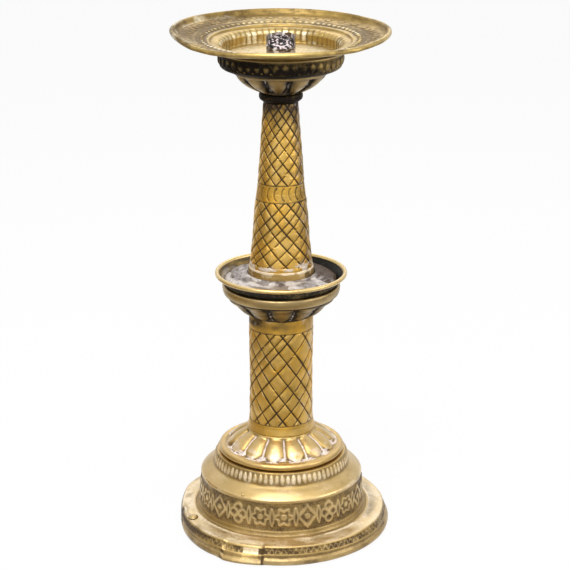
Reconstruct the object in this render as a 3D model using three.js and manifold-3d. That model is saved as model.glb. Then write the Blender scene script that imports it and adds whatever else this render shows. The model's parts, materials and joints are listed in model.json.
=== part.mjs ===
// Old brass candlestick: a stepped foot, a lobed dome, two shafts with a small pan between
// them, and a wide top pan that leans forward. Millimetres, +Z up, the front faces -Y.
// The origin is on the axis, in the plane that the foot stands on.

import * as THREE from 'three';
import * as BufferGeometryUtils from 'three/addons/utils/BufferGeometryUtils.js';
import Module from 'manifold-3d';

const wasm = await Module();
wasm.setup();

// Sheet, clearance and roundness
const SHEET = 1.0; // wall of the foot, dome, shafts and bowls
const PAN_SHEET = 0.8; // wall of the two pans and of the egg moulding
const JOINT = 0.3; // space that solder fills between two pieces
const WIRE_SHARE = 0.75; // share of a rolled edge's hollow that its wire fills
const ROUND = 32; // sides of a wide round piece
const SHAFT_SIDES = 20; // sides of the shafts and of what fits close round them
const ROD_SIDES = 16; // sides of the rod and of the small round pieces
const LOBE_SIDES = 3; // sides of each lobe of a lobed piece

// Foot, from its rolled edge inwards and upwards
const FOOT_ROLL_RADIUS = 3.7;
const FOOT_EDGE_HEIGHT = 16.8; // top of the flange's outer edge above the table
const FOOT_EDGE_LEAN = 2.6; // the edge wall leans outwards by this much on its way down
const FLANGE_WIDTH = 16.4;
const FLANGE_DROP = 1.4; // the flange slopes down by this much towards its edge
const COVE_WIDTH = 2.2;
const COVE_RISE = 4;
const DRUM_HEIGHT = 34; // from the flange's edge to the drum's top edge
const DRUM_TAPER = 2.4;
const SHOULDER_WIDTH = 11.6;
const SHOULDER_RISE = 8.1;
const SHOULDER_SWELL = 0.7; // how far the shoulder swells above a straight cone
const BEAD_BAND_HEIGHT = 11.7;
const BEAD_BAND_TAPER = 2.6;
const DOME_MARGIN = 2.6; // the foot's top reaches this far past the dome
const FOOT_LEDGE_WIDTH = 16; // ring on top of the foot that carries the dome

// Dome
const DOME_RADIUS = 56.7; // outside of its rolled edge
const DOME_ROLL_RADIUS = 3.0;
const DOME_HEIGHT = 22.1;
const DOME_SWELL = 1.6; // how far the lobes swell above a straight cone
const DOME_LOBES = 14;
const DOME_LOBE_DEPTH = 2.8;
const DOME_LOBE_TURN = -8.6; // degrees from the front to the middle of a lobe
const DOME_HOLE_RADIUS = 20;

// Lower shaft
const LOWER_SHAFT_LENGTH = 107.9;
const LOWER_SHAFT_RADIUS = 28.5;
const LOWER_SHAFT_WAIST = 0.7; // the shaft is thinner by this much near its middle
const LOWER_SHAFT_FLARE = 1.8; // its bottom end is wider by this much
const LOWER_SHAFT_FLARE_HEIGHT = 10.5;

// Middle bowl
const MID_BOWL_RADIUS = 52.2;
const MID_BOWL_HEIGHT = 27.2;
const MID_BOWL_LOBE_HEIGHT = 11.4;
const MID_BOWL_MOULDING = 8.7; // width of the half-round moulding over the lobes
const MID_BOWL_MOULDING_DROP = 12.1; // from its widest line down to where its curve would end
const MID_BOWL_LIP = 5; // width of the rim that is turned in
const MID_BOWL_LOBES = 12;
const MID_BOWL_LOBE_DEPTH = 2.4;
const MID_BOWL_LOBE_TURN = 1;

// Small pan and its solder
const MID_PAN_OVERHANG = 6.2; // the pan's rim stands out past the bowl by this much
const MID_PAN_ROLL_RADIUS = 1.9;
const MID_PAN_HEIGHT = 11.3;
const MID_PAN_WALL_FLARE = 5.2;
const SOLDER_HEIGHT = 9.6;
const SOLDER_EDGE_HEIGHT = 3.8;

// Upper shaft and its collar
const UPPER_SHAFT_LENGTH = 161.7;
const UPPER_SHAFT_BOTTOM_RADIUS = 27.3;
const UPPER_SHAFT_TOP_RADIUS = 14.9;
const UPPER_SHAFT_STRAIGHT = 14; // straight stretch at the bottom of the cone
const UPPER_SHAFT_HOLLOW = 0.4; // the cone's sides lie inside a straight line by this much
const COLLAR_HEIGHT = 16;
const COLLAR_TOP_WALL = 0.6;
const COLLAR_BOTTOM_WALL = 2.0;

// Dark ring at the neck
const NECK_RING_RADIUS = 18.8;
const NECK_RING_HEIGHT = 7.4;
const NECK_SPIGOT_LENGTH = 5;

// Upper bowl
const UPPER_BOWL_RADIUS = 41.3;
const UPPER_BOWL_HEIGHT = 19.6;
const UPPER_BOWL_LOBE_HEIGHT = 16.6;
const UPPER_BOWL_LIP = 5;
const UPPER_BOWL_LOBES = 11;
const UPPER_BOWL_LOBE_DEPTH = 2.4;
const UPPER_BOWL_LOBE_TURN = -5;

// Egg moulding
const EGG_RING_HEIGHT = 16;
const EGG_RING_BULGE = 0.5; // its widest line stands out past its mouth by this much
const EGG_RING_OVERLAP = 7; // its foot lies on the bowl's rim by this much
const EGG_RING_FOOT = 3.4; // its flat foot ends this far outside the bowl
const EGG_RING_CURVE = 9; // height of the curve under its widest line

// Top pan, in its own leaning frame
const PAN_LEAN = 2.4; // degrees, front edge down
const PAN_SINK = 5.6; // its floor lies this far below the mouth of the egg moulding
const PAN_PLAY = 0.9; // space round the well in the mouth of the egg moulding
const PAN_ROLL_RADIUS = 2.2;
const PAN_WELL_RADIUS = 50.8;
const PAN_WELL_UPRIGHT = 7.8; // height of the upright foot of the well's wall
const PAN_WELL_DEPTH = 12.2; // from the top of the flared wall to the floor
const PAN_WELL_FLARE = 8.8;
const PAN_RIDGE_HEIGHT = 1.7; // ridge between the well and the flange
const PAN_FLANGE_WIDTH = 34.3; // from the well's wall to the outside of the rolled rim
const PAN_FLANGE_RISE = 5.2; // from the wall's top to the flange's outer edge
const PAN_RIM_RISE = 3; // the rolled rim's centre stands this far above the flange

// Candle tube
const TUBE_RADIUS = 12.2;
const TUBE_WALL = 1.3;
const TUBE_HEIGHT = 18.2; // above the pan's floor, at the back
const TUBE_BREAK_HEIGHT = 9.2; // the same at the front, where the wall has broken away
const TUBE_BREAK_SLOPE = 6; // degrees that the broken edge rises from front to back
const FILL_HEIGHT = 12.6; // of the fill on the axis
const FILL_SLOPE = 21; // degrees that the fill rises from front to back

// Rod, nuts, discs, cross bar and lead bed
const ROD_RADIUS = 4;
const ROD_END = 4; // the rod stands out of its nuts by this much
const ROD_HOLE_RADIUS = 6;
const NUT_WIDTH = 14; // across flats
const NUT_HEIGHT = 7;
const DISC_THICKNESS = 2;
const MID_DISC_RADIUS = 20;
const TOP_DISC_RADIUS = 15;
const BAR_WIDTH = 16;
const BAR_THICKNESS = 4;
const BAR_BITE = 8; // each end of the bar lies under the foot's ledge by this much
const BED_WALL = 5.5;
const BED_TOP_RADIUS = 20;

// Repair rivets on the foot
const FLANGE_RIVET_HEAD = 4.8;
const FLANGE_RIVET_TURN = -65;
const FLANGE_RIVET_INSET = 6.8; // from the edge of the flange
const SHOULDER_RIVET_HEAD = 1.7;
const SHOULDER_RIVET_SIDE = -3; // counted in sides of the foot from the front
const RIVET_SHANK_SHARE = 0.42; // of the head's radius
const RIVET_HEAD_HEIGHT_SHARE = 0.36;
const RIVET_SIDES = 8;

// Heights of the stack
const drumTop = FOOT_EDGE_HEIGHT + DRUM_HEIGHT;
const shoulderTop = drumTop + SHOULDER_RISE;
const footTop = shoulderTop + BEAD_BAND_HEIGHT;
const flangeTopHeight = FOOT_EDGE_HEIGHT + FLANGE_DROP;
const domeBase = footTop + JOINT;
const domeTop = domeBase + DOME_HEIGHT;
const lowerShaftBase = domeTop + JOINT;
const midBowlBase = lowerShaftBase + LOWER_SHAFT_LENGTH + JOINT;
const midPanBase = midBowlBase + MID_BOWL_HEIGHT + JOINT;
const midPanFloor = midPanBase + PAN_SHEET;
const upperShaftBase = midPanFloor + JOINT;
const neckRingBase = upperShaftBase + UPPER_SHAFT_LENGTH + JOINT;
const upperBowlBase = neckRingBase + NECK_RING_HEIGHT + JOINT;
const eggRingBase = upperBowlBase + UPPER_BOWL_HEIGHT + JOINT;
const eggRingTop = eggRingBase + EGG_RING_HEIGHT;
const topPanBase = eggRingTop - PAN_SINK;
const topDiscBase = upperBowlBase + SHEET + JOINT;
const topNutBase = topDiscBase + DISC_THICKNESS + JOINT;
const barTop = footTop - SHEET - JOINT;
const footNutTop = barTop - BAR_THICKNESS - JOINT;

// Radii that follow from a neighbour
const ledgeRadius = DOME_RADIUS + DOME_MARGIN;
const beadBandRadius = ledgeRadius + BEAD_BAND_TAPER;
const drumTopRadius = beadBandRadius + SHOULDER_WIDTH;
const drumRadius = drumTopRadius + DRUM_TAPER;
const flangeInner = drumRadius + COVE_WIDTH;
const flangeOuter = flangeInner + FLANGE_WIDTH;
const footRollCentre = flangeOuter + FOOT_EDGE_LEAN - 1.3;
const lowerShaftFoot = LOWER_SHAFT_RADIUS + LOWER_SHAFT_FLARE;
const wellOuter = PAN_WELL_RADIUS + PAN_SHEET;
const eggMouth = wellOuter + PAN_PLAY;
const eggRingRadius = eggMouth + PAN_SHEET + EGG_RING_BULGE;
const collarRadius = UPPER_SHAFT_BOTTOM_RADIUS + JOINT + COLLAR_BOTTOM_WALL;
const midPanRadius = MID_BOWL_RADIUS + MID_PAN_OVERHANG;

// Materials
function finish(color, roughness, metalness) {
  return new THREE.MeshStandardMaterial({ color, roughness, metalness });
}

const brass = finish(0x9c7f3e, 0.42, 0.9);
const dullBrass = finish(0x7d6636, 0.55, 0.85);
const darkBrass = finish(0x3a3020, 0.6, 0.7);
const iron = finish(0x4a4642, 0.7, 0.8);
const lead = finish(0x8d8a86, 0.65, 0.5);
const wax = finish(0x5d5552, 0.85, 0.1);

// Points of a profile: x is the distance from the axis, y the height
function at(radius, height) {
  return new THREE.Vector2(radius, height);
}

function arc(centre, width, height, fromDegrees, toDegrees, steps) {
  const points = [];
  for (let i = 0; i <= steps; i += 1) {
    const angle = THREE.MathUtils.degToRad(fromDegrees + ((toDegrees - fromDegrees) * i) / steps);
    points.push(at(centre.x + width * Math.cos(angle), centre.y + height * Math.sin(angle)));
  }
  return points;
}

function bend(start, control, end, steps) {
  return new THREE.QuadraticBezierCurve(start, control, end).getPoints(steps);
}

// Direction across a profile at one of its points, long enough to offset both sides evenly
function mitre(points, i) {
  const here = points[i];
  const before = i > 0 ? here.clone().sub(points[i - 1]).normalize() : null;
  const after = i < points.length - 1 ? points[i + 1].clone().sub(here).normalize() : null;
  const first = before ?? after;
  const second = after ?? before;
  const across = at(first.y + second.y, -first.x - second.x);
  return across.divideScalar(1 + first.dot(second));
}

// Closed outline of a bent sheet: its visible skin, and its hidden skin on the way back. The
// hidden skin lies to the right of the visible one, or to the left where the wall is negative.
function sheetOutline(skin, wall) {
  const hidden = skin.map((point, i) => point.clone().addScaledVector(mitre(skin, i), wall));
  return [...skin, ...hidden.reverse()];
}

// A ring or disc turned from an outline that is closed or ends on the axis. With grooves, each
// outline point moves along its own shift by the depth that grooves gives at that angle.
function turned(outline, sides = ROUND, startDegrees = 0, shifts = null, grooves = null) {
  const points = [...outline];
  const moves = shifts ? [...shifts] : null;
  const onAxis = points[0].x === 0 && points[points.length - 1].x === 0;
  if (!onAxis) {
    points.push(points[0].clone());
    moves?.push(moves[0]);
  }
  if (THREE.ShapeUtils.area(points) < 0) {
    points.reverse();
    moves?.reverse();
  }
  const start = THREE.MathUtils.degToRad(startDegrees);
  const geometry = new THREE.LatheGeometry(points, sides, start);
  if (moves) {
    const position = geometry.attributes.position;
    for (let v = 0; v < position.count; v += 1) {
      const side = Math.floor(v / points.length);
      const angle = start + (side * 2 * Math.PI) / sides;
      const j = v % points.length;
      const depth = grooves(angle);
      const radius = points[j].x + moves[j].x * depth;
      const height = points[j].y + moves[j].y * depth;
      position.setXYZ(v, radius * Math.sin(angle), height, radius * Math.cos(angle));
    }
  }
  return geometry.rotateX(Math.PI / 2);
}

// Direction of a groove beside the lobe whose middle lies at turn, in degrees
function grooveTurn(lobes, turn) {
  return turn + 180 / lobes;
}

// A sheet shell with lobes on one stretch of its skin, from the point first to the point last
function lobedShell(skin, wall, first, last, lobes, depth, turn) {
  const inward = skin.map((point, i) => {
    const share = THREE.MathUtils.clamp((i - first) / (last - first), 0, 1);
    const swell = Math.sqrt(Math.sin(Math.PI * share));
    return mitre(skin, i).normalize().multiplyScalar(Math.sign(wall) * swell * depth);
  });
  const shifts = [...inward, ...[...inward].reverse()];
  const middle = THREE.MathUtils.degToRad(turn);
  const groove = (angle) => 1 - Math.sqrt(Math.abs(Math.cos((lobes * (angle - middle)) / 2)));
  return turned(sheetOutline(skin, wall), lobes * LOBE_SIDES, grooveTurn(lobes, turn), shifts, groove);
}

// A wire ring inside a rolled edge
function wireRing(centre, rollRadius, wall, sides = ROUND, turn = 0) {
  const radius = WIRE_SHARE * (rollRadius - wall);
  return turned(arc(centre, radius, radius, 0, 270, 3), sides, turn);
}

// Moves the top of a piece so that it slopes up from front to back
function slantTop(geometry, above, degrees) {
  const position = geometry.attributes.position;
  const slope = Math.tan(THREE.MathUtils.degToRad(degrees));
  for (let v = 0; v < position.count; v += 1) {
    if (position.getZ(v) > above) {
      position.setZ(v, position.getZ(v) + position.getY(v) * slope);
    }
  }
  return geometry;
}

function disc(radius, hole, base, thickness) {
  const top = base + thickness;
  return turned([at(hole, base), at(radius, base), at(radius, top), at(hole, top)], ROD_SIDES);
}

// Solids for cutting one shape out of another
function toManifold(geometry) {
  const bare = geometry.clone();
  bare.deleteAttribute('normal');
  bare.deleteAttribute('uv');
  const merged = BufferGeometryUtils.mergeVertices(bare);
  const vertProperties = new Float32Array(merged.attributes.position.array);
  const triVerts = new Uint32Array(merged.index.array);
  return new wasm.Manifold(new wasm.Mesh({ numProp: 3, vertProperties, triVerts }));
}

function fromManifold(solid) {
  const mesh = solid.getMesh();
  const geometry = new THREE.BufferGeometry();
  geometry.setAttribute('position', new THREE.BufferAttribute(mesh.vertProperties, 3));
  geometry.setIndex(new THREE.BufferAttribute(mesh.triVerts, 1));
  return geometry;
}

function without(geometry, removed) {
  const whole = toManifold(geometry);
  return fromManifold(removed.reduce((solid, piece) => solid.subtract(toManifold(piece)), whole));
}

const candlestick = new THREE.Group();

function add(name, geometry, material, parent = candlestick) {
  const mesh = new THREE.Mesh(geometry, material);
  mesh.name = name;
  parent.add(mesh);
  return mesh;
}

// Rolled edges: the sheet starts over the wire and curls round it. The foot's roll is placed so
// that one narrow facet of it lies flat in the plane z = 0.
const rollStart = 75;
const rollStep = (rollStart + 90) / 3.5;
const footRollAngle = THREE.MathUtils.degToRad(rollStep / 2);
const footRoll = at(footRollCentre, FOOT_ROLL_RADIUS * Math.cos(footRollAngle));
const domeRoll = at(DOME_RADIUS - DOME_ROLL_RADIUS, domeBase + DOME_ROLL_RADIUS);
const midPanRoll = at(
  midPanRadius - MID_PAN_ROLL_RADIUS,
  midPanBase + MID_PAN_HEIGHT - MID_PAN_ROLL_RADIUS
);

// Foot
const shoulderStart = at(beadBandRadius, shoulderTop);
const shoulderEnd = at(drumTopRadius, drumTop);
const shoulderMiddle = shoulderStart.clone().lerp(shoulderEnd, 0.5);
const shoulderControl = shoulderMiddle.addScalar(Math.SQRT2 * SHOULDER_SWELL);
const shoulder = bend(shoulderStart, shoulderControl, shoulderEnd, 3);
const footSkin = [
  at(ledgeRadius - FOOT_LEDGE_WIDTH, footTop),
  at(ledgeRadius - 0.7, footTop),
  at(ledgeRadius, footTop - 0.7),
  ...shoulder,
  at(drumRadius, flangeTopHeight + COVE_RISE),
  at(flangeInner, flangeTopHeight),
  at(flangeOuter - 0.6, FOOT_EDGE_HEIGHT),
  at(flangeOuter, FOOT_EDGE_HEIGHT - 0.8),
  at(flangeOuter + FOOT_EDGE_LEAN, 2.6 * FOOT_ROLL_RADIUS),
  ...arc(footRoll, FOOT_ROLL_RADIUS, FOOT_ROLL_RADIUS, rollStart, rollStart - 6 * rollStep, 6),
];

// A rivet stands on the sheet at its own origin, with its head along its own +Z
function rivet(name, head, parentPlace) {
  const shank = head * RIVET_SHANK_SHARE;
  const height = head * RIVET_HEAD_HEIGHT_SHARE;
  const tail = -SHEET - JOINT;
  const outline = [
    at(0, tail - height),
    at(head * 0.7, tail - height),
    at(head * 0.7, tail),
    at(shank, tail),
    at(shank, JOINT),
    at(head, JOINT),
    at(head * 0.72, JOINT + height * 0.75),
    at(0, JOINT + height),
  ];
  const mesh = add(name, turned(outline, RIVET_SIDES), brass);
  mesh.position.copy(parentPlace.position);
  mesh.quaternion.setFromUnitVectors(new THREE.Vector3(0, 0, 1), parentPlace.normal);
  mesh.updateMatrixWorld();
  const hole = new THREE.CylinderGeometry(shank + JOINT, shank + JOINT, 6 * SHEET, RIVET_SIDES);
  return hole.rotateX(Math.PI / 2).applyMatrix4(mesh.matrixWorld);
}

// Position and outward normal on the foot, from a profile point, a profile normal and a turn
function onFoot(point, normal, degrees) {
  const angle = THREE.MathUtils.degToRad(degrees);
  const out = new THREE.Vector3(Math.sin(angle), -Math.cos(angle), 0);
  const position = out.clone().multiplyScalar(point.x).setZ(point.y);
  return { position, normal: out.multiplyScalar(normal.x).setZ(normal.y).normalize() };
}

const flangeSlope = FLANGE_DROP / FLANGE_WIDTH;
const flangeSpot = at(
  flangeOuter - FLANGE_RIVET_INSET,
  FOOT_EDGE_HEIGHT + FLANGE_RIVET_INSET * flangeSlope
);
const [shoulderEdge, shoulderFoot] = shoulder.slice(-2);
const sideAngle = 360 / ROUND;
const shoulderSpot = shoulderEdge.clone().lerp(shoulderFoot, 0.5);
shoulderSpot.x *= Math.cos(THREE.MathUtils.degToRad(sideAngle / 2));
const shoulderNormal = at(shoulderEdge.y - shoulderFoot.y, shoulderFoot.x - shoulderEdge.x);
const rivetHoles = [
  rivet('flange_rivet', FLANGE_RIVET_HEAD, onFoot(flangeSpot, at(flangeSlope, 1), FLANGE_RIVET_TURN)),
  rivet(
    'shoulder_rivet',
    SHOULDER_RIVET_HEAD,
    onFoot(shoulderSpot, shoulderNormal, (SHOULDER_RIVET_SIDE + 0.5) * sideAngle)
  ),
];
add('foot_shell', without(turned(sheetOutline(footSkin, SHEET)), rivetHoles), brass);
add('foot_rim_wire', wireRing(footRoll, FOOT_ROLL_RADIUS, SHEET), iron);

// Dome: a flat seat for the shaft, the lobes, and the rolled edge
const domeSeat = lowerShaftFoot + JOINT;
const domeLobeStart = at(domeSeat + 0.8, domeTop - 0.4);
const domeLobeEnd = at(DOME_RADIUS - 2 * DOME_ROLL_RADIUS - 0.1, domeBase + 2.2 * DOME_ROLL_RADIUS);
const domeControl = domeLobeStart.clone().lerp(domeLobeEnd, 0.5).addScalar(2 * DOME_SWELL / Math.SQRT2);
const domeLobeSteps = 4;
const domeSkin = [
  at(DOME_HOLE_RADIUS, domeTop),
  at(domeSeat, domeTop),
  ...bend(domeLobeStart, domeControl, domeLobeEnd, domeLobeSteps),
  ...arc(domeRoll, DOME_ROLL_RADIUS, DOME_ROLL_RADIUS, 130, -150, 5),
];
const domeSides = DOME_LOBES * LOBE_SIDES;
const domeTurn = grooveTurn(DOME_LOBES, DOME_LOBE_TURN);
add(
  'foot_dome',
  lobedShell(domeSkin, SHEET, 2, 2 + domeLobeSteps, DOME_LOBES, DOME_LOBE_DEPTH, DOME_LOBE_TURN),
  brass
);
add('dome_rim_wire', wireRing(domeRoll, DOME_ROLL_RADIUS, SHEET, domeSides, domeTurn), iron);

// Lower shaft
const lowerShaftSkin = [
  at(lowerShaftFoot, lowerShaftBase),
  at(LOWER_SHAFT_RADIUS + 0.7, lowerShaftBase + 0.5 * LOWER_SHAFT_FLARE_HEIGHT),
  at(LOWER_SHAFT_RADIUS, lowerShaftBase + LOWER_SHAFT_FLARE_HEIGHT),
  at(LOWER_SHAFT_RADIUS - LOWER_SHAFT_WAIST, lowerShaftBase + 0.45 * LOWER_SHAFT_LENGTH),
  at(LOWER_SHAFT_RADIUS, lowerShaftBase + 0.86 * LOWER_SHAFT_LENGTH),
  at(LOWER_SHAFT_RADIUS, lowerShaftBase + LOWER_SHAFT_LENGTH),
];
add('lower_shaft', turned(sheetOutline(lowerShaftSkin, -SHEET), SHAFT_SIDES), brass);

// Middle bowl: floor, lobes, half-round moulding and turned-in rim
const midBowlTop = midBowlBase + MID_BOWL_HEIGHT;
const midLobeStart = at(LOWER_SHAFT_RADIUS + 1.8, midBowlBase + 0.4);
const midLobeEnd = at(MID_BOWL_RADIUS - MID_BOWL_MOULDING - 0.5, midBowlBase + MID_BOWL_LOBE_HEIGHT);
const midControl = at(
  THREE.MathUtils.lerp(midLobeStart.x, midLobeEnd.x, 0.56),
  THREE.MathUtils.lerp(midLobeStart.y, midLobeEnd.y, 0.3)
);
const mouldingCentre = at(MID_BOWL_RADIUS - MID_BOWL_MOULDING, midBowlTop - 1.8);
const midLobeSteps = 4;
const midBowlSkin = [
  at(ROD_HOLE_RADIUS, midBowlBase),
  at(LOWER_SHAFT_RADIUS, midBowlBase),
  ...bend(midLobeStart, midControl, midLobeEnd, midLobeSteps),
  ...arc(mouldingCentre, MID_BOWL_MOULDING, MID_BOWL_MOULDING_DROP, -60, 0, 3),
  at(MID_BOWL_RADIUS - 0.6, midBowlTop - 0.3),
  at(MID_BOWL_RADIUS - 1.6, midBowlTop),
  at(MID_BOWL_RADIUS - MID_BOWL_LIP, midBowlTop),
];
add(
  'mid_bowl',
  lobedShell(
    midBowlSkin, -SHEET, 2, 2 + midLobeSteps, MID_BOWL_LOBES, MID_BOWL_LOBE_DEPTH, MID_BOWL_LOBE_TURN
  ),
  dullBrass
);

// Small pan: its inner skin from the rod hole to the rolled rim
const midPanWallFoot = midPanRadius - 2 * MID_PAN_ROLL_RADIUS - MID_PAN_WALL_FLARE;
const midPanSkin = [
  at(ROD_HOLE_RADIUS, midPanFloor),
  at(midPanWallFoot - 0.4, midPanFloor),
  ...bend(
    at(midPanWallFoot + 0.6, midPanFloor + 0.7),
    at(midPanWallFoot + 2, midPanFloor + 4.4),
    at(midPanRoll.x - 1.42 * MID_PAN_ROLL_RADIUS, midPanRoll.y - 0.7 * MID_PAN_ROLL_RADIUS),
    3
  ),
  ...arc(midPanRoll, MID_PAN_ROLL_RADIUS, MID_PAN_ROLL_RADIUS, 150, -130, 5),
];
add('mid_pan', turned(sheetOutline(midPanSkin, PAN_SHEET)), dullBrass);
add('mid_pan_rim_wire', wireRing(midPanRoll, MID_PAN_ROLL_RADIUS, PAN_SHEET), iron);

// Solder in the small pan, heaped against the collar
const solderBase = midPanFloor + JOINT;
const solderBore = collarRadius + JOINT;
const solderEdge = midPanWallFoot + 0.2;
const solderSkin = [
  at(solderBore, solderBase),
  at(solderEdge - 1, solderBase),
  at(solderEdge + 0.6, solderBase + SOLDER_EDGE_HEIGHT),
  at(solderEdge - 5, solderBase + SOLDER_EDGE_HEIGHT + 1.6),
  at(THREE.MathUtils.lerp(solderBore, solderEdge, 0.3), solderBase + SOLDER_HEIGHT - 1.6),
  at(solderBore, solderBase + SOLDER_HEIGHT),
];
add('pan_solder', turned(solderSkin), lead);

// Collar round the bottom of the upper shaft
const collarBore = UPPER_SHAFT_BOTTOM_RADIUS + JOINT;
const collarSkin = [
  at(collarBore, solderBase),
  at(collarRadius, solderBase),
  at(collarRadius - 0.3, solderBase + 0.6 * COLLAR_HEIGHT),
  at(collarBore + COLLAR_TOP_WALL, solderBase + COLLAR_HEIGHT),
  at(collarBore, solderBase + COLLAR_HEIGHT),
];
add('shaft_collar', turned(collarSkin, SHAFT_SIDES), brass);

// Upper shaft
const coneStart = at(UPPER_SHAFT_BOTTOM_RADIUS, upperShaftBase + UPPER_SHAFT_STRAIGHT);
const coneEnd = at(UPPER_SHAFT_TOP_RADIUS, upperShaftBase + UPPER_SHAFT_LENGTH);
const coneControl = coneStart.clone().lerp(coneEnd, 0.5).add(at(-2 * UPPER_SHAFT_HOLLOW, 0));
const upperShaftSkin = [
  at(UPPER_SHAFT_BOTTOM_RADIUS, upperShaftBase),
  ...bend(coneStart, coneControl, coneEnd, 3),
];
add('upper_shaft', turned(sheetOutline(upperShaftSkin, -SHEET), SHAFT_SIDES), brass);

// Neck ring, with a spigot inside the top of the shaft
const spigotRadius = UPPER_SHAFT_TOP_RADIUS - SHEET - JOINT;
const neckSkin = [
  at(ROD_HOLE_RADIUS, neckRingBase - NECK_SPIGOT_LENGTH),
  at(spigotRadius - 0.2, neckRingBase - NECK_SPIGOT_LENGTH),
  at(spigotRadius - 0.2, neckRingBase),
  at(UPPER_SHAFT_TOP_RADIUS + 0.6, neckRingBase),
  at(UPPER_SHAFT_TOP_RADIUS + 1.1, neckRingBase + 0.16 * NECK_RING_HEIGHT),
  at(NECK_RING_RADIUS - 0.7, neckRingBase + 0.37 * NECK_RING_HEIGHT),
  at(NECK_RING_RADIUS, neckRingBase + 0.58 * NECK_RING_HEIGHT),
  at(NECK_RING_RADIUS, neckRingBase + 0.82 * NECK_RING_HEIGHT),
  at(NECK_RING_RADIUS - 0.8, neckRingBase + NECK_RING_HEIGHT),
  at(ROD_HOLE_RADIUS, neckRingBase + NECK_RING_HEIGHT),
];
add('neck_ring', turned(neckSkin, SHAFT_SIDES), darkBrass);

// Upper bowl
const upperBowlTop = upperBowlBase + UPPER_BOWL_HEIGHT;
const upperLobeStart = at(NECK_RING_RADIUS - 0.8, upperBowlBase + 0.4);
const upperLobeEnd = at(UPPER_BOWL_RADIUS - 1.6, upperBowlBase + UPPER_BOWL_LOBE_HEIGHT);
const upperControl = at(
  THREE.MathUtils.lerp(upperLobeStart.x, upperLobeEnd.x, 0.8),
  THREE.MathUtils.lerp(upperLobeStart.y, upperLobeEnd.y, 0.4)
);
const upperLobeSteps = 4;
const upperBowlSkin = [
  at(ROD_HOLE_RADIUS, upperBowlBase),
  at(NECK_RING_RADIUS - 2.2, upperBowlBase),
  ...bend(upperLobeStart, upperControl, upperLobeEnd, upperLobeSteps),
  at(UPPER_BOWL_RADIUS, upperBowlBase + UPPER_BOWL_LOBE_HEIGHT + 0.8),
  at(UPPER_BOWL_RADIUS, upperBowlTop - 0.8),
  at(UPPER_BOWL_RADIUS - 0.8, upperBowlTop),
  at(UPPER_BOWL_RADIUS - UPPER_BOWL_LIP, upperBowlTop),
];
add(
  'upper_bowl',
  lobedShell(
    upperBowlSkin,
    -SHEET,
    2,
    2 + upperLobeSteps,
    UPPER_BOWL_LOBES,
    UPPER_BOWL_LOBE_DEPTH,
    UPPER_BOWL_LOBE_TURN
  ),
  dullBrass
);

// Egg moulding: it lies on the bowl's rim and curves out and up to the mouth
const eggFoot = UPPER_BOWL_RADIUS - EGG_RING_OVERLAP;
const eggBend = at(UPPER_BOWL_RADIUS + EGG_RING_FOOT, eggRingBase);
const eggWidest = at(eggRingRadius, eggRingBase + EGG_RING_CURVE);
const eggSkin = [
  at(eggFoot, eggRingBase),
  ...bend(eggBend, at(eggRingRadius - 0.8, eggRingBase + 0.6), eggWidest, 3),
  at(eggRingRadius, eggRingTop - 2.5),
  at(eggMouth + PAN_SHEET, eggRingTop),
];
add('egg_ring', turned(sheetOutline(eggSkin, -PAN_SHEET)), darkBrass);

// Rod with its nuts, discs and cross bar
const rodBottom = footNutTop - NUT_HEIGHT - ROD_END;
const rodTop = topNutBase + NUT_HEIGHT + ROD_END;
const rodFit = ROD_RADIUS + JOINT;
const rodSkin = [at(0, rodBottom), at(ROD_RADIUS, rodBottom), at(ROD_RADIUS, rodTop), at(0, rodTop)];
add('tie_rod', turned(rodSkin, ROD_SIDES), iron);

function hole(radius) {
  return new THREE.Path().absarc(0, 0, radius, 0, 2 * Math.PI, true);
}

function nut(name, base) {
  const corner = NUT_WIDTH / 2 / Math.cos(Math.PI / 6);
  const shape = new THREE.Shape();
  for (let i = 0; i < 6; i += 1) {
    const angle = (i * Math.PI) / 3;
    const method = i === 0 ? 'moveTo' : 'lineTo';
    shape[method](corner * Math.cos(angle), corner * Math.sin(angle));
  }
  shape.closePath();
  shape.holes.push(hole(rodFit));
  const geometry = new THREE.ExtrudeGeometry(shape, {
    depth: NUT_HEIGHT,
    bevelEnabled: false,
    curveSegments: ROD_SIDES / 2,
  });
  add(name, geometry.translate(0, 0, base), iron);
}

nut('foot_nut', footNutTop - NUT_HEIGHT);
nut('top_nut', topNutBase);
add('mid_disc', disc(MID_DISC_RADIUS, rodFit, midBowlBase + SHEET + JOINT, DISC_THICKNESS), iron);
add('top_disc', disc(TOP_DISC_RADIUS, rodFit, topDiscBase, DISC_THICKNESS), iron);

const barHalfLength = ledgeRadius - FOOT_LEDGE_WIDTH + BAR_BITE;
const barShape = new THREE.Shape();
barShape.moveTo(-barHalfLength, -BAR_WIDTH / 2);
barShape.lineTo(barHalfLength, -BAR_WIDTH / 2);
barShape.lineTo(barHalfLength, BAR_WIDTH / 2);
barShape.lineTo(-barHalfLength, BAR_WIDTH / 2);
barShape.closePath();
barShape.holes.push(hole(rodFit));
const bar = new THREE.ExtrudeGeometry(barShape, {
  depth: BAR_THICKNESS,
  bevelEnabled: false,
  curveSegments: ROD_SIDES / 2,
});
add('foot_bar', bar.translate(0, 0, barTop - BAR_THICKNESS), iron);

// Lead bed: it covers the top nut and carries the leaning pan
const bedBore = NUT_WIDTH / 2 / Math.cos(Math.PI / 6) + 2 * JOINT;
const bedTop = topPanBase - JOINT;
const bedCavity = rodTop + ROD_END / 4;
const bedOutline = [
  at(0, bedCavity),
  at(bedBore, bedCavity),
  at(bedBore, topNutBase),
  at(bedBore + BED_WALL, topNutBase),
  at(BED_TOP_RADIUS, bedCavity),
  at(BED_TOP_RADIUS, bedTop),
  at(0, bedTop),
];
add('pan_bed', slantTop(turned(bedOutline, ROD_SIDES), bedCavity + JOINT, PAN_LEAN), lead);

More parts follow.
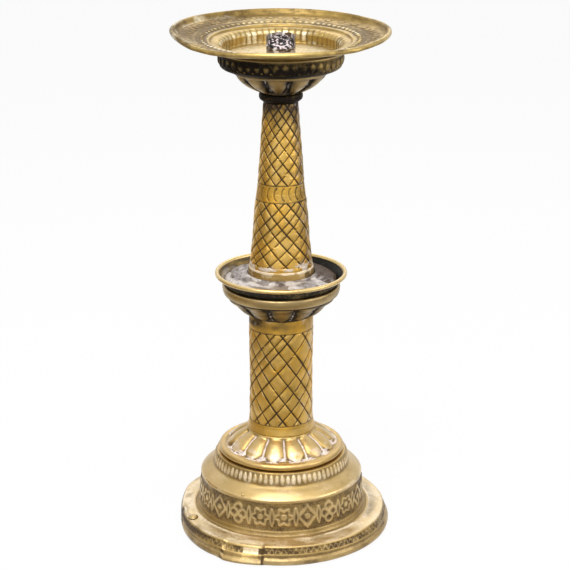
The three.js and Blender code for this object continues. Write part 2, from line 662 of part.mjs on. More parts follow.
// Top pan, in a group that leans about the middle of its floor
const pan = new THREE.Group();
pan.position.z = topPanBase;
pan.rotation.x = THREE.MathUtils.degToRad(PAN_LEAN);
candlestick.add(pan);

const panFloor = PAN_SHEET;
const uprightTop = panFloor + PAN_WELL_UPRIGHT;
const wallTop = at(PAN_WELL_RADIUS + PAN_WELL_FLARE, panFloor + PAN_WELL_DEPTH);
const wallControl = at(PAN_WELL_RADIUS + 0.2 * PAN_WELL_FLARE, wallTop.y);
const ridgeHeight = wallTop.y + PAN_RIDGE_HEIGHT;
const flangeEdge = wallTop.x + PAN_FLANGE_WIDTH - 2 * PAN_ROLL_RADIUS;
const flangeTop = wallTop.y + PAN_FLANGE_RISE;
const panRoll = at(flangeEdge + PAN_ROLL_RADIUS, flangeTop + PAN_RIM_RISE);
const panSkin = [
  at(0, panFloor),
  at(PAN_WELL_RADIUS - 1, panFloor),
  at(PAN_WELL_RADIUS, panFloor + 1),
  ...bend(at(PAN_WELL_RADIUS, uprightTop), wallControl, wallTop, 3),
  at(wallTop.x + 1, ridgeHeight),
  at(wallTop.x + 2.6, ridgeHeight),
  at(wallTop.x + 7.4, THREE.MathUtils.lerp(ridgeHeight, flangeTop, 0.34)),
  at(flangeEdge - 3, flangeTop),
  at(flangeEdge - 0.5, panRoll.y - 1),
  ...arc(panRoll, PAN_ROLL_RADIUS, PAN_ROLL_RADIUS, 180, -80, 5),
];
add('top_pan', turned(sheetOutline(panSkin, PAN_SHEET)), brass, pan);
add('top_pan_rim_wire', wireRing(panRoll, PAN_ROLL_RADIUS, PAN_SHEET), iron, pan);

// Candle tube, broken away at the front, and the burnt fill that slopes up to its back
const tubeBase = panFloor + JOINT;
const tubeTop = panFloor + TUBE_HEIGHT;
const tubeBore = TUBE_RADIUS - TUBE_WALL;
const tubeOutline = [
  at(tubeBore, tubeBase),
  at(TUBE_RADIUS, tubeBase),
  at(TUBE_RADIUS, tubeTop),
  at(tubeBore, tubeTop),
];
const breakSize = 4 * TUBE_RADIUS;
const brokenAway = new THREE.BoxGeometry(breakSize, breakSize, breakSize)
  .translate(0, -breakSize / 2, breakSize / 2)
  .rotateX(THREE.MathUtils.degToRad(TUBE_BREAK_SLOPE))
  .translate(0, 0, panFloor + TUBE_BREAK_HEIGHT);
add('candle_tube', without(turned(tubeOutline, ROD_SIDES), [brokenAway]), lead, pan);
const fillRadius = tubeBore - JOINT;
const fillTop = panFloor + FILL_HEIGHT;
const fillOutline = [at(0, tubeBase), at(fillRadius, tubeBase), at(fillRadius, fillTop), at(0, fillTop)];
add('tube_fill', slantTop(turned(fillOutline, ROD_SIDES), tubeBase + JOINT, FILL_SLOPE), wax, pan);

export default candlestick;
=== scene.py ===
import json
from math import cos, pi, radians, sin, tan
from types import SimpleNamespace

import bmesh
import bpy
import numpy as np
from mathutils import Matrix, Vector
from numpy.random import default_rng


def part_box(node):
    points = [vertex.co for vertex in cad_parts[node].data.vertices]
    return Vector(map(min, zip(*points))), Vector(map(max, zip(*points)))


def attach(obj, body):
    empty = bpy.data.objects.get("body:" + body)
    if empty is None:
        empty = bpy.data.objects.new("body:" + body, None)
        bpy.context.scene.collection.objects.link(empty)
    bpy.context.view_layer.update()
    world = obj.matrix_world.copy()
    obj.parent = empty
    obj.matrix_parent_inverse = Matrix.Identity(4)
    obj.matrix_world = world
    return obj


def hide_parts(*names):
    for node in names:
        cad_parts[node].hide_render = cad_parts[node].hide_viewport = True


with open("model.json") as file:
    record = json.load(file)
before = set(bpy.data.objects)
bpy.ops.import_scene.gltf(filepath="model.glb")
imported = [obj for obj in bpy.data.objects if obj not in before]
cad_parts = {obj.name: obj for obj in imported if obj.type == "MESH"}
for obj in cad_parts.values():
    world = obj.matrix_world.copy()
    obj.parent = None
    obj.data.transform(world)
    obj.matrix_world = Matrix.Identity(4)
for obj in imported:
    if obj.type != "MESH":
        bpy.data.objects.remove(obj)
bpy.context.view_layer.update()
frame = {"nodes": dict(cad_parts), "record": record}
scene = bpy.context.scene

# Lengths are millimetres and become metres in the meshes. A skin is a line of (radius, height)
# points with its visible side on the left. Heights count from the bottom of the CAD node that a
# piece replaces, from the floor for the foot's wire and the rivets, and from the underside of
# the pan's floor in the leaning top pan. Angles count from the front (-Y) towards +X. Functions
# of a, r, z, s work on a grid of points: angle, radius, height and length along the skin.
MM = 0.001
SHEET, THIN_SHEET = 1.0, 0.8
PAN_LEAN = radians(2.4)
# height at which the underside of the leaning pan crosses the axis
PAN_BASE = min(
    cos(PAN_LEAN) * point.co.z - sin(PAN_LEAN) * point.co.y
    for point in frame["nodes"]["top_pan"].data.vertices
) / cos(PAN_LEAN) / MM


# Lines and skins

def arc(centre, width, height, start, stop, step=0.6):
    """Points on part of an ellipse, angles in degrees."""
    count = max(3, int(abs(radians(stop - start)) * max(width, height) / step) + 1)
    t = np.radians(np.linspace(start, stop, count))
    return np.c_[centre[0] + width * np.cos(t), centre[1] + height * np.sin(t)]


def curve(start, control, stop, count=16):
    """Points on a quadratic curve."""
    t = np.linspace(0, 1, count)[:, None]
    a, b, c = (np.array(p, float) for p in (start, control, stop))
    return (1 - t) ** 2 * a + 2 * t * (1 - t) * b + t * t * c


def skin(step, *parts, bend=0.6):
    """Joins points and lines, turns each corner into a short bend and spaces the result evenly."""
    most = 0.45  # share of a side that a bend may take
    p = np.vstack([np.atleast_2d(np.asarray(part, float)) for part in parts])
    out = [p[0]]
    for a, b, c in zip(p, p[1:], p[2:]):
        sides = (a - b, c - b)
        near_a, near_c = (b + v * min(most, bend / max(np.hypot(*v), 1e-6)) for v in sides)
        out += [near_a, (near_a + 2 * b + near_c) / 4, near_c]
    p = np.vstack([out, p[-1:]])
    length = lengths(p)
    at = np.linspace(0, length[-1], int(np.ceil(length[-1] / step)) + 1)
    return np.c_[np.interp(at, length, p[:, 0]), np.interp(at, length, p[:, 1])]


def lengths(line):
    """Length along a line at each of its points."""
    return np.r_[0, np.cumsum(np.hypot(*np.diff(line, axis=0).T))]


def chain(*runs):
    """One skin from runs that share their end points."""
    return np.vstack([runs[0]] + [run[1:] for run in runs[1:]])


def across(line):
    """Unit vectors out of the visible side."""
    t = np.gradient(line, axis=0)
    t /= np.hypot(*t.T)[:, None]
    return np.c_[-t[:, 1], t[:, 0]]


# Patterns

def wrap(x):
    """Angle between -pi and pi."""
    return (x + pi) % (2 * pi) - pi


def azimuth(a):
    """Direction in degrees, -180 to 180."""
    return np.degrees(wrap(a))


def turn(a, degrees):
    """Angle from a direction, between -pi and pi."""
    return wrap(a - radians(degrees))


def cell(a, count, middle=0.0):
    """Place inside one of `count` equal cells round the axis, -0.5 to 0.5, and its number."""
    x = turn(a, middle) * count / (2 * pi)
    number = np.round(x)
    return x - number, (number % count).astype(int)


def ease(x):
    """Smooth step from 0 at 0 to 1 at 1."""
    x = np.clip(x, 0, 1)
    return x * x * (3 - 2 * x)


def bowl(x):
    """A round hump from 1 in the middle to 0 at -1 and 1."""
    return np.sqrt(np.clip(1 - x * x, 0, 1))


def bell(x, width):
    """1 at 0, falling to nearly 0 at twice the width."""
    return np.exp(-((x / width) ** 2))


def band(x, low_end, high_end, soft):
    """1 between two values, fading to 0 over `soft`."""
    return ease((x - low_end) / soft + 0.5) * ease((high_end - x) / soft + 0.5)


def noise(a, v, around, along, seed):
    """Smooth lumps from -1 to 1: `around` of them round the axis, one for each `along` mm."""
    rng = default_rng(seed)
    first = v.min()
    grid = rng.uniform(-1, 1, (int((v.max() - first) / along) + 3, around))
    x = (a / (2 * pi) * around) % around
    y = (v - first) / along
    i, j = np.floor(x).astype(int) % around, np.floor(y).astype(int)
    fx, fy = ease(x - np.floor(x)), ease(y - j)
    k = (i + 1) % around
    upper = grid[j, i] * (1 - fx) + grid[j, k] * fx
    lower = grid[j + 1, i] * (1 - fx) + grid[j + 1, k] * fx
    return upper * (1 - fy) + lower * fy


def flat_noise(x, y, size, seed):
    """Smooth lumps of about `size` mm in a plane, from -1 to 1."""
    around = 40
    return noise(x * 2 * pi / (around * size), y, around, size, seed)


def dots(x, y, pitch, radius, seed):
    """Round punch marks on a loose grid, 1 in the middle of each."""
    cells = 257
    shift = default_rng(seed).uniform(0.25, 0.75, (cells, cells, 2))
    i, j = np.floor(x / pitch).astype(int), np.floor(y / pitch).astype(int)
    off = shift[i % cells, j % cells]
    dx, dy = x / pitch - i - off[..., 0], y / pitch - j - off[..., 1]
    return np.clip(1 - (dx * dx + dy * dy) * (pitch / radius) ** 2, 0, 1)


def strokes(a, r, z, lines):
    """Hand-cut lines. Each is (z, degrees, z, degrees, half width) from end to end. Gives how
    deep each point lies in one, 0 to 1, and its distance from the nearest in mm."""
    depth, near = np.zeros_like(a), np.full_like(a, 99.0)
    for z0, t0, z1, t1, half in lines:
        share = (z - z0) / (z1 - z0)
        slope = r * radians(t1 - t0) / (z1 - z0)
        gap = r * np.abs(wrap(a - np.radians(t0 + share * (t1 - t0)))) / np.sqrt(1 + slope**2)
        inside = ease(np.minimum(share, 1 - share) * abs(z1 - z0) / 1.2 + 0.5)
        depth = np.maximum(depth, inside * np.clip(1.15 - gap / half, 0, 1))
        near = np.minimum(near, gap + (1 - inside) * 3)
    return depth, near


def round_the_back(front, count):
    """The given directions and as many evenly spaced ones behind them as make up `count`."""
    left = count - len(front)
    return list(front) + list(np.linspace(front[-1], front[0] + 360, left + 2)[1:-1])


def lattice(top, bottom, falling, rising, half, seed):
    """Lines of a hand-cut lattice from z top to z bottom. falling and rising are each the
    directions in which the lines start at the top and their degrees for each mm downwards."""
    rng = default_rng(seed)
    tall = top - bottom
    lines = []
    for (starts, pace), bold in ((falling, 1.25), (rising, 0.95)):
        for start in starts:
            end = start + pace * tall * rng.uniform(0.98, 1.02)
            width = half * bold * rng.uniform(0.75, 1.2)
            cuts = np.sort(rng.uniform(0.1, 0.9, rng.integers(0, 3)))
            ends = np.r_[0, cuts, 1]
            for first, last in zip(ends, ends[1:]):
                slip = rng.uniform(-0.8, 0.8)
                spare = rng.uniform(0.0, 0.008)
                p, q = first + spare, last - spare
                lines.append((
                    top - p * tall, start + p * (end - start) + slip,
                    top - q * tall, start + q * (end - start) + slip, width,
                ))
    return lines


# Meshes

def put(name, data):
    """A new object in the scene."""
    made = bpy.data.objects.new(name, data)
    scene.collection.objects.link(made)
    return made


def looks(patina_and_shade, pale=0, wear_and_highlight=0):
    """The look of a surface: dark patina and painted shade, pale residue and painted highlights,
    and rubbed metal and painted highlights.
    """
    zero = 0 * patina_and_shade
    return np.stack([patina_and_shade + zero, pale + zero, wear_and_highlight + zero], -1)


def surface(*sections):
    """The detail of a large piece: its sections add to mm outwards and to the three looks."""
    def detail(*grid):
        on = SimpleNamespace(push=0, patina_and_shade=0, pale=0, wear_and_highlight=0)
        for section in sections:
            section(on, *grid)
        return on.push, looks(on.patina_and_shade, on.pale, on.wear_and_highlight)
    return detail


def round_axis(rows_r, rows_z, angle, lean):
    """Points in mm from radii and heights, tilted forward where the piece leans with the pan."""
    x, y = rows_r * np.sin(angle), -rows_r * np.cos(angle)
    if lean:
        forward = y * cos(PAN_LEAN) - rows_z * sin(PAN_LEAN)
        rows_z = y * sin(PAN_LEAN) + rows_z * cos(PAN_LEAN) + PAN_BASE
        y = forward
    return np.stack([x, y, rows_z], -1).reshape(-1, 3)


def weld(mesh, rows, columns):
    """Makes one point of each row of points that lies on the axis."""
    work = bmesh.new()
    work.from_mesh(mesh)
    work.verts.ensure_lookup_table()
    ends = [work.verts[i * columns + c] for i in rows for c in range(columns)]
    bmesh.ops.remove_doubles(work, verts=ends, dist=1e-7)
    work.to_mesh(mesh)
    work.free()


def turned_mesh(name, rows_r, rows_z, points, look, last_step):
    """Quads between the rows, closed into a ring where no row lies on the axis, with the look
    and a UV map for baking. last_step is the way in mm from the last row back to the first."""
    rows, columns = rows_r.shape
    poles = [i for i in range(rows) if rows_r[i].max() < 1e-6]
    upper = np.arange(rows - 1 if poles else rows)
    first, second = upper[:, None] * columns, (upper[:, None] + 1) % rows * columns
    j = np.arange(columns)
    k = (j + 1) % columns
    faces = np.stack([first + j, second + j, second + k, first + k], -1)
    mesh = bpy.data.meshes.new(name)
    mesh.from_pydata((points * MM).tolist(), [], faces.reshape(-1, 4).tolist())
    mesh.shade_smooth()

    rgba = np.ones((rows * columns, 4), np.float32)
    rgba[:, :3] = np.clip(look, 0, 1).reshape(-1, 3)
    mesh.attributes.new("look", "FLOAT_COLOR", "POINT").data.foreach_set("color", rgba.ravel())

    v = lengths(np.c_[rows_r[:, 0], rows_z[:, 0]])
    v = np.r_[v, v[-1] + last_step] / (v[-1] + last_step)
    u = np.arange(columns + 1)[:, None] / columns
    uv = np.zeros(faces.shape + (2,), np.float32)
    uv[..., :2, 0], uv[..., 2:, 0] = u[:-1], u[1:]
    uv[..., (0, 3), 1], uv[..., (1, 2), 1] = v[upper, None, None], v[upper + 1, None, None]
    mesh.uv_layers.new(name="OFBake").data.foreach_set("uv", uv.ravel())
    if poles:
        weld(mesh, poles, columns)
    return mesh


piece_slots = {}  # filled by shell and read where the finishes are given


def shell(name, node_name, slot, line, *, columns, detail, wall=None, form=None, under=None,
          move=None, every=6, lean=False, base=None, under_dirt=0.55):
    """A turned piece. With a wall it is a sheet whose hidden side has one row for each `every`
    rows of the visible side; without one the line is a closed outline or ends on the axis.
    form and under give mm along the skin's outward direction, for both sides and for the hidden
    one; detail gives mm for the visible side and its look; move gives mm outwards and up. The
    hidden side follows what detail sinks. under_dirt is the hidden side's patina."""
    angle = np.arange(columns) * 2 * pi / columns
    out = across(line)
    a, s = np.meshgrid(angle, lengths(line))
    r, z = line[:, :1] + 0 * a, line[:, 1:] + 0 * a
    shape = form(a, r, z, s) if form else 0 * a
    cut, look = detail(a, r, z, s)
    dr, dz = move(a, r, z, s) if move else (0 * a, 0 * a)
    rows_r = r + out[:, :1] * (shape + cut) + dr
    rows_z = z + out[:, 1:] * (shape + cut) + dz
    if wall:
        pick = np.unique(np.r_[np.arange(0, len(line), every), len(line) - 1])[::-1]
        extra = under(a, r, z, s) if under else 0 * a
        push = (shape + extra + np.minimum(cut, 0) - wall)[pick]
        rows_r = np.vstack([rows_r, r[pick] + out[pick, :1] * push + dr[pick]])
        rows_z = np.vstack([rows_z, z[pick] + out[pick, 1:] * push + dz[pick]])
        look = np.vstack([look, looks(under_dirt + 0.2 * noise(a[pick], s[pick], 24, 9, 5))])
    if not lean:
        rows_z = rows_z + (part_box(node_name)[0].z / MM if base is None else base)
    points = round_axis(rows_r, rows_z, angle, lean)
    piece = put(name, turned_mesh(name, rows_r, rows_z, points, look, wall or 1.0))
    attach(piece, "root")
    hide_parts(node_name)
    piece_slots[name] = slot
    return piece


# Foot

BEAD_COUNT, BEADS_LOW, BEADS_HIGH, BEADS_MIDDLE = 76, 58.8, 70.3, 64.6
FRIEZE_COUNT, DRUM_LOW, DRUM_HIGH, FRIEZE_MIDDLE = 22, 22.6, 48.6, 35.4
TOOTH_COUNT, EDGE_LOW, EDGE_HIGH = 112, 10.6, 15.4
# sizes of the frieze's figures
PETALS, PETAL_REACH, PETAL_WAVE, ROSETTE_BOSS = 6, 6.7, 1.2, 1.4
LOZENGE_WIDE, LOZENGE_TALL, LOZENGE_BOSS = 8.0, 9.6, 1.5
RING_RADIUS, RING_SIDE, RING_RISE = 3.7, 4.2, 5.2
LEAF_WIDE, LEAF_TALL = 1.7, 8.5
# directions in degrees of the edge's notch, fold, bare patch, dent and stain
NOTCH = -79
FOLD, BARE, DENT, STAIN = (-31.5, -9.5), (-20.5, -12.0), (-102, -72), (-130, -42)
# how far the edge is pushed outwards, in mm, in each direction in degrees
EDGE_PUSH = (
    (-180, 0), (-112, 0), (-98, -5.4), (-90, -6.4), (-80, -6.2), (-62, -3), (-48, -0.6),
    (-36, 0.8), (-30, 3.4), (-20, 2.4), (-13, 1.2), (-8, 0), (180, 0),
)


def foot_dents(a, r, z, s):
    """Dents of a sheet that has been knocked about."""
    soft = 0.35 * noise(a, s, 14, 16, 11) + 0.15 * noise(a, s, 40, 7, 12)
    return soft * ease((r - 58) / 8) * ease((z - 4) / 4)


def foot_bent(a, r, z, s):
    """The edge is knocked in at the left, and folded, torn and pressed down at the front left."""
    degrees = azimuth(a)
    push = np.interp(degrees, *np.transpose(EDGE_PUSH))
    edge = ease((r - 86) / 9)
    below = ease((13 - z) / 8)
    fold = band(degrees, *FOLD, 2.0)
    outer = np.where(push > 0, below, 0.55 + 0.45 * below)
    dr = push * edge * outer - 1.2 * fold * edge * (1 - below)
    rolled = ease((9 - z) / 4) * (r > 91)
    dz = -1.6 * fold * edge * (1 - below) - 0.42 * (z - 0.2) * fold * rolled
    dz -= 1.6 * bell(degrees - NOTCH, 3.0) * edge * (1 - below)
    dz += 0.3 * noise(a, s, 9, 60, 13) * ease((r - 80) / 10) * (1 - below)
    return dr - 0.5 * edge * np.abs(noise(a, s, 22, 60, 14)), dz


def frieze(a, r, z):
    """Raised outlines of rosettes, lozenges and crossed rings, with a leaf between each two."""
    u, k = cell(a, FRIEZE_COUNT, 2.0)
    width = 2 * pi * r / FRIEZE_COUNT
    x, y = u * width, z - FRIEZE_MIDDLE
    wide, tall = np.abs(x), np.abs(y)
    reach = np.hypot(x, y)
    petals = np.abs(reach - PETAL_REACH - PETAL_WAVE * np.cos(PETALS * np.arctan2(y, x)))
    rosette = np.minimum(petals, reach - ROSETTE_BOSS)
    sides = np.abs(wide / LOZENGE_WIDE + tall / LOZENGE_TALL - 1) * 6.0
    lozenge = np.minimum(sides, reach - LOZENGE_BOSS)
    sideways = np.abs(np.hypot(wide - RING_SIDE, y) - RING_RADIUS)
    upright = np.abs(np.hypot(x, tall - RING_RISE) - RING_RADIUS)
    rings = np.minimum(sideways, upright)
    gap = np.select([k % 3 == 0, k % 3 == 1], [rosette, lozenge], rings)
    leaf = np.abs(np.abs(wide - width / 2) - LEAF_WIDE * np.clip(1 - (y / LEAF_TALL) ** 2, 0, 1))
    leaf = np.where(tall < LEAF_TALL + 0.2, leaf, 9)
    return ease((2.2 - np.minimum(gap, leaf + 0.4)) / 1.5)


def foot_ground(on, a, r, z, s):
    """Patina, residue and wear all over."""
    on.patina_and_shade += 0.08 + 0.1 * noise(a, s, 30, 9, 21) + 0.08 * noise(a, s, 90, 3, 22)
    on.pale += 0.1 * ease(noise(a, s, 50, 6, 23))
    on.wear_and_highlight += 0.25 + 0.25 * noise(a, s, 24, 8, 24)


def foot_beads(on, a, r, z, s):
    """Upright ovals round the top band."""
    rng = default_rng(31)
    u, k = cell(a, BEAD_COUNT, 1.2)
    v = (z - BEADS_MIDDLE) / rng.uniform(3.9, 4.8, BEAD_COUNT)[k]
    lean = rng.uniform(-0.05, 0.05, BEAD_COUNT)[k]
    oval = bowl(np.hypot((u - lean * v) / 0.4, v)) * rng.uniform(0.6, 1.0, BEAD_COUNT)[k]
    here = band(z, BEADS_LOW, BEADS_HIGH, 0.8) * (r < 64)
    crust = 0.5 + 0.5 * noise(a, s, 34, 5, 32)
    on.push += here * (1.05 * oval - 0.35)
    on.patina_and_shade += here * (0.4 * (oval < 0.15) + 0.08 * noise(a, s, 50, 4, 42))
    # pale here, strongest on each bead's top, is partly residue crust and partly a painted
    # highlight
    on.pale += here * (0.2 + 0.55 * oval) * (0.45 + 0.6 * crust)
    on.wear_and_highlight += here * oval


def foot_drum(on, a, r, z, s):
    """The frieze on punched ground, a painted highlight along the edge above it and the dark
    corner below.
    """
    drum = band(z, DRUM_LOW, DRUM_HIGH, 0.9) * (r > 70) * (r < 79)
    raised = frieze(a, r, z)
    marks = dots(a * 76, z, 2.2, 0.9, 33)
    edge = raised * (1 - raised) * 4
    on.push += drum * (0.75 * raised - 0.6 - 0.2 * marks * (1 - raised))
    on.patina_and_shade += drum * (0.36 * (1 - raised) + 0.26 * marks * (1 - raised) + 0.24 * edge)
    on.patina_and_shade += drum * (0.15 + 0.16 * noise(a, s, 60, 4, 38))
    on.wear_and_highlight += drum * raised
    # a painted highlight along the drum's top edge, in rubbed and pale colour
    edge_highlight = band(z, 49.2, 51.6, 1.4) * (r > 70)
    on.wear_and_highlight += 0.9 * edge_highlight
    on.pale += 0.35 * edge_highlight * ease(0.3 + noise(a, s, 30, 9, 39))
    on.patina_and_shade += 0.35 * band(z, 18.6, 22.0, 1.5) * (r < 80)


def foot_flange(on, a, r, z, s):
    """A worn raised line with painted glints, patches, painted highlights and shade on the
    crumpled dent at the left, a painted shadow of the drum at the right back, and the pale
    shoulder.
    """
    worn = ease(0.6 + 1.2 * noise(a, s, 17, 80, 34))
    line = band(r, 79.8, 81.6, 0.8) * (z < 19.5)
    on.push += 0.45 * line * worn
    on.wear_and_highlight += line * worn
    # pale on the worn raised line is painted glints; its rubbed colour is wear
    on.pale += 0.4 * line * worn
    flange = band(r, 80, 94, 2) * (z > 15)
    on.wear_and_highlight += 0.75 * flange
    on.pale += flange * (0.39 + 0.2 * noise(a, s, 40, 5, 46))
    dent = band(azimuth(a), *DENT, 8) * (r > 83) * (z > 10)
    crumpled = noise(a, s, 60, 4, 48)
    # painted highlights and painted shade in patches over the crumpled dent
    on.pale += 0.5 * dent * ease(crumpled * 2)
    on.patina_and_shade += 0.45 * dent * ease(-crumpled * 2)
    stained = band(azimuth(a), *STAIN, 16) * band(r, 88.5, 97, 2.5) * (z > 9)
    on.patina_and_shade += 0.42 * stained * ease(0.45 + crumpled)
    on.patina_and_shade += 0.14 * flange * noise(a, s, 36, 6, 40)
    # a painted shadow of the drum on the flange at the right back
    on.patina_and_shade += 0.55 * flange * ease(4 * np.cos(turn(a, 104)) - 2.6) * ease((92 - r) / 8)
    shoulder = band(r, 62.5, 73.5, 2) * (z > 50)
    on.pale += shoulder * (0.1 + 0.16 * noise(a, s, 30, 7, 47))
    on.wear_and_highlight += 0.4 * shoulder


def foot_edge_wall(on, a, r, z, s):
    """A worn zigzag on dark ground, a bare patch in the fold and a crack at each end of it, with a
    painted shadow beside the bare patch.
    """
    degrees = azimuth(a)
    wall = band(z, EDGE_LOW, EDGE_HIGH, 0.8) * (r > 93.5)
    bare = band(degrees, *BARE, 0.8)
    u = cell(a + 0.004 * noise(a, z, 80, 9, 45), TOOTH_COUNT)[0]
    zigzag = np.abs(np.abs(u) * 2 - np.clip((z - EDGE_LOW - 0.2) / 4.4, 0, 1))
    tooth = ease(1.3 - zigzag * 3.4) * (0.7 + 0.3 * noise(a, s, 70, 4, 35))
    pits = dots(a * 97, z, 2.3, 1.2, 43)
    worn_away = ease(0.5 + noise(a, s, 21, 40, 44))
    on.push += wall * (1 - band(degrees, *FOLD, 1.5)) * (-0.35 + 0.45 * tooth)
    on.patina_and_shade += wall * (1 - bare) * (0.58 - 0.42 * tooth + 0.32 * pits - 0.22 * worn_away)
    on.wear_and_highlight += 0.8 * wall * tooth
    on.patina_and_shade += wall * (1 - bare) * (0.2 + 0.25 * noise(a, s, 90, 3, 41))
    on.pale += 0.5 * wall * bare
    on.wear_and_highlight += wall * bare
    # a painted shadow beside the bare patch
    on.patina_and_shade += 0.45 * band(degrees, -12.4, -7.4, 2.4) * wall
    on.patina_and_shade += 0.5 * band(degrees, -10.3, -9.0, 0.7) * (r > 93) * (z < 9)
    on.patina_and_shade += 0.3 * band(degrees, -33.0, -31.0, 1.0) * (r > 93) * (z < 9)


def foot_roll(on, a, r, z, s):
    """The rolled edge, the dark line over it, the notch and pale crusts low on the foot."""
    roll = band(z, -1, 7.4, 1) * (r > 92)
    on.wear_and_highlight += 0.5 * roll
    on.patina_and_shade += roll * (0.32 + 0.3 * ease(noise(a, s, 44, 5, 36) * 2 - 0.5))
    bare = band(azimuth(a), *BARE, 0.8)
    on.patina_and_shade += 0.45 * band(z, 7.2, 9.8, 1.2) * (r > 94) * (1 - bare)
    on.patina_and_shade += 0.8 * bell(azimuth(a) - NOTCH, 2.6) * (r > 89)
    on.pale += 0.22 * ease(noise(a, s, 26, 8, 37) * 2.2 - 0.9) * (z < 20)


foot_line = chain(
    skin(4, (43.4, 70.6), (56, 70.6)),
    skin(0.75, (56, 70.6), (58.6, 70.6), (59.3, 69.9), (60.0, 67.1), (61.0, 63), (61.9, 58.9),
         curve((61.9, 58.9), (62.9, 58.0), (64.2, 57.3), 5)),
    skin(1.3, curve((64.2, 57.3), (69.0, 54.8), (72.2, 51.9), 8)),
    skin(0.75, (72.2, 51.9), (73.5, 50.6), (74.2, 42), (75.4, 27),
         curve((75.9, 22.2), (76.4, 19.2), (78.1, 18.2), 6), (82.5, 17.85), bend=1.2),
    skin(1.4, (82.5, 17.85), (92.4, 17.0)),
    skin(0.7, (92.4, 17.0), (93.9, 16.85), (94.5, 16.1), (97.0, 9.6), bend=0.4),
    skin(0.95, (97.0, 9.6), arc((95.7, 3.6), 3.5, 3.6, 72, -205, 0.9), bend=0.3),
)
foot_detail = surface(foot_ground, foot_beads, foot_drum, foot_flange, foot_edge_wall, foot_roll)
shell("foot_sheet", "foot_shell", "brass", foot_line, columns=644, wall=SHEET,
      move=foot_bent, form=foot_dents, detail=foot_detail, every=8)


def wire(name, node_name, centre, radius, move, lean=False):
    """The iron wire inside a bent rolled edge follows the edge."""
    ring = arc(centre, radius, radius, 0, -330, radius / 2)
    shell(name, node_name, "iron", ring, columns=180, move=move, lean=lean, base=0,
          detail=lambda a, r, z, s: (0 * a, looks(0.5 + 0.3 * noise(a, s, 60, 2, 7))))


wire("foot_edge_wire", "foot_rim_wire", (95.7, 3.6), 1.95, foot_bent)


# Lobed pieces

def lobes(a, r, s, count, middle, start, stop, deep, rib, round_end):
    """Lobes between two places along a skin, with a raised rib between each two. round_end is
    the share of the length over which a lobe's broad end closes. Gives mm and the looks."""
    x = cell(a, count, middle)[0] * 2 * pi * r / count
    half = pi * r / count
    share = (s - start) / (stop - start)
    inside = band(share, 0.0, 1.0, 0.04)
    closing = np.clip((share - 1 + round_end) / round_end, 0, 1)
    broad = np.maximum((half - rib) * np.sqrt(np.clip(1 - closing**2.2, 0, 1)), 0.01)
    hump = bowl(x / broad)
    beside = bell(half - np.abs(x), 0.75)
    groove = bell(np.abs(x) - broad - 0.45, 0.7)
    push = inside * (deep * hump + 0.9 * beside - 0.35 * groove - deep)
    patina_and_shade = inside * (0.8 * groove * (1 - 0.5 * beside) + 0.15 * (1 - hump))
    pale = inside * (0.95 * beside + 0.25 * (hump < 0.05))
    return push, patina_and_shade, pale, inside * hump**2


DOME_START, DOME_STOP = 11.5, 36.0


def dome_detail(a, r, z, s):
    push, patina_and_shade, pale, wear_and_highlight = lobes(
        a, r, s, count=14, middle=-8.6, start=DOME_START, stop=DOME_STOP, deep=2.6, rib=0.95,
        round_end=0.36)
    lumps = noise(a, s, 60, 3, 41)
    outer = band(s, DOME_STOP - 4.5, DOME_STOP + 1.2, 1.5)
    patina_and_shade += 0.08 + 0.1 * noise(a, s, 22, 8, 42) + 0.4 * outer * (1 - wear_and_highlight)
    pale *= 0.75 + 0.4 * lumps
    pale += 0.8 * outer * (1 - wear_and_highlight) * ease(0.5 + 0.9 * lumps)
    push += 0.12 * lumps * (1 - wear_and_highlight)
    roll = (r > 51.0) & (s > DOME_STOP + 1)
    # painted highlights on the lobes' lower ends and painted shade on their upper parts
    lower_end = ease((s - DOME_START - 10) / 9)
    pale += 0.42 * wear_and_highlight * lower_end * ease(0.7 + 0.6 * noise(a, s, 40, 4, 44))
    patina_and_shade = patina_and_shade * 0.6 + 0.14 * (1 - lower_end) * (s > DOME_START)
    return push, looks(patina_and_shade, pale, 0.3 + 0.7 * wear_and_highlight + 0.4 * roll)


def dome_form(a, r, z, s):
    sunk = 1.5 * band(s, DOME_START, DOME_STOP, 5)
    return 0.25 * noise(a, s, 11, 14, 43) * ease((r - 30) / 8) - sunk


dome_line = chain(
    skin(3, (20, 22.1), (28.8, 22.1)),
    skin(0.55, (28.8, 22.1), (30.3, 22.1), curve((31.2, 21.7), (42.8, 17.6), (50.6, 7.0)),
         (51.0, 6.3), arc((53.7, 3.0), 3.0, 3.0, 128, -150)),
)
shell("dome_sheet", "foot_dome", "brass", dome_line, columns=672, wall=SHEET,
      detail=dome_detail, form=dome_form, every=5)


MID_BOWL_LOBES = 27.5
MID_BOWL_FLOOR = 23.5


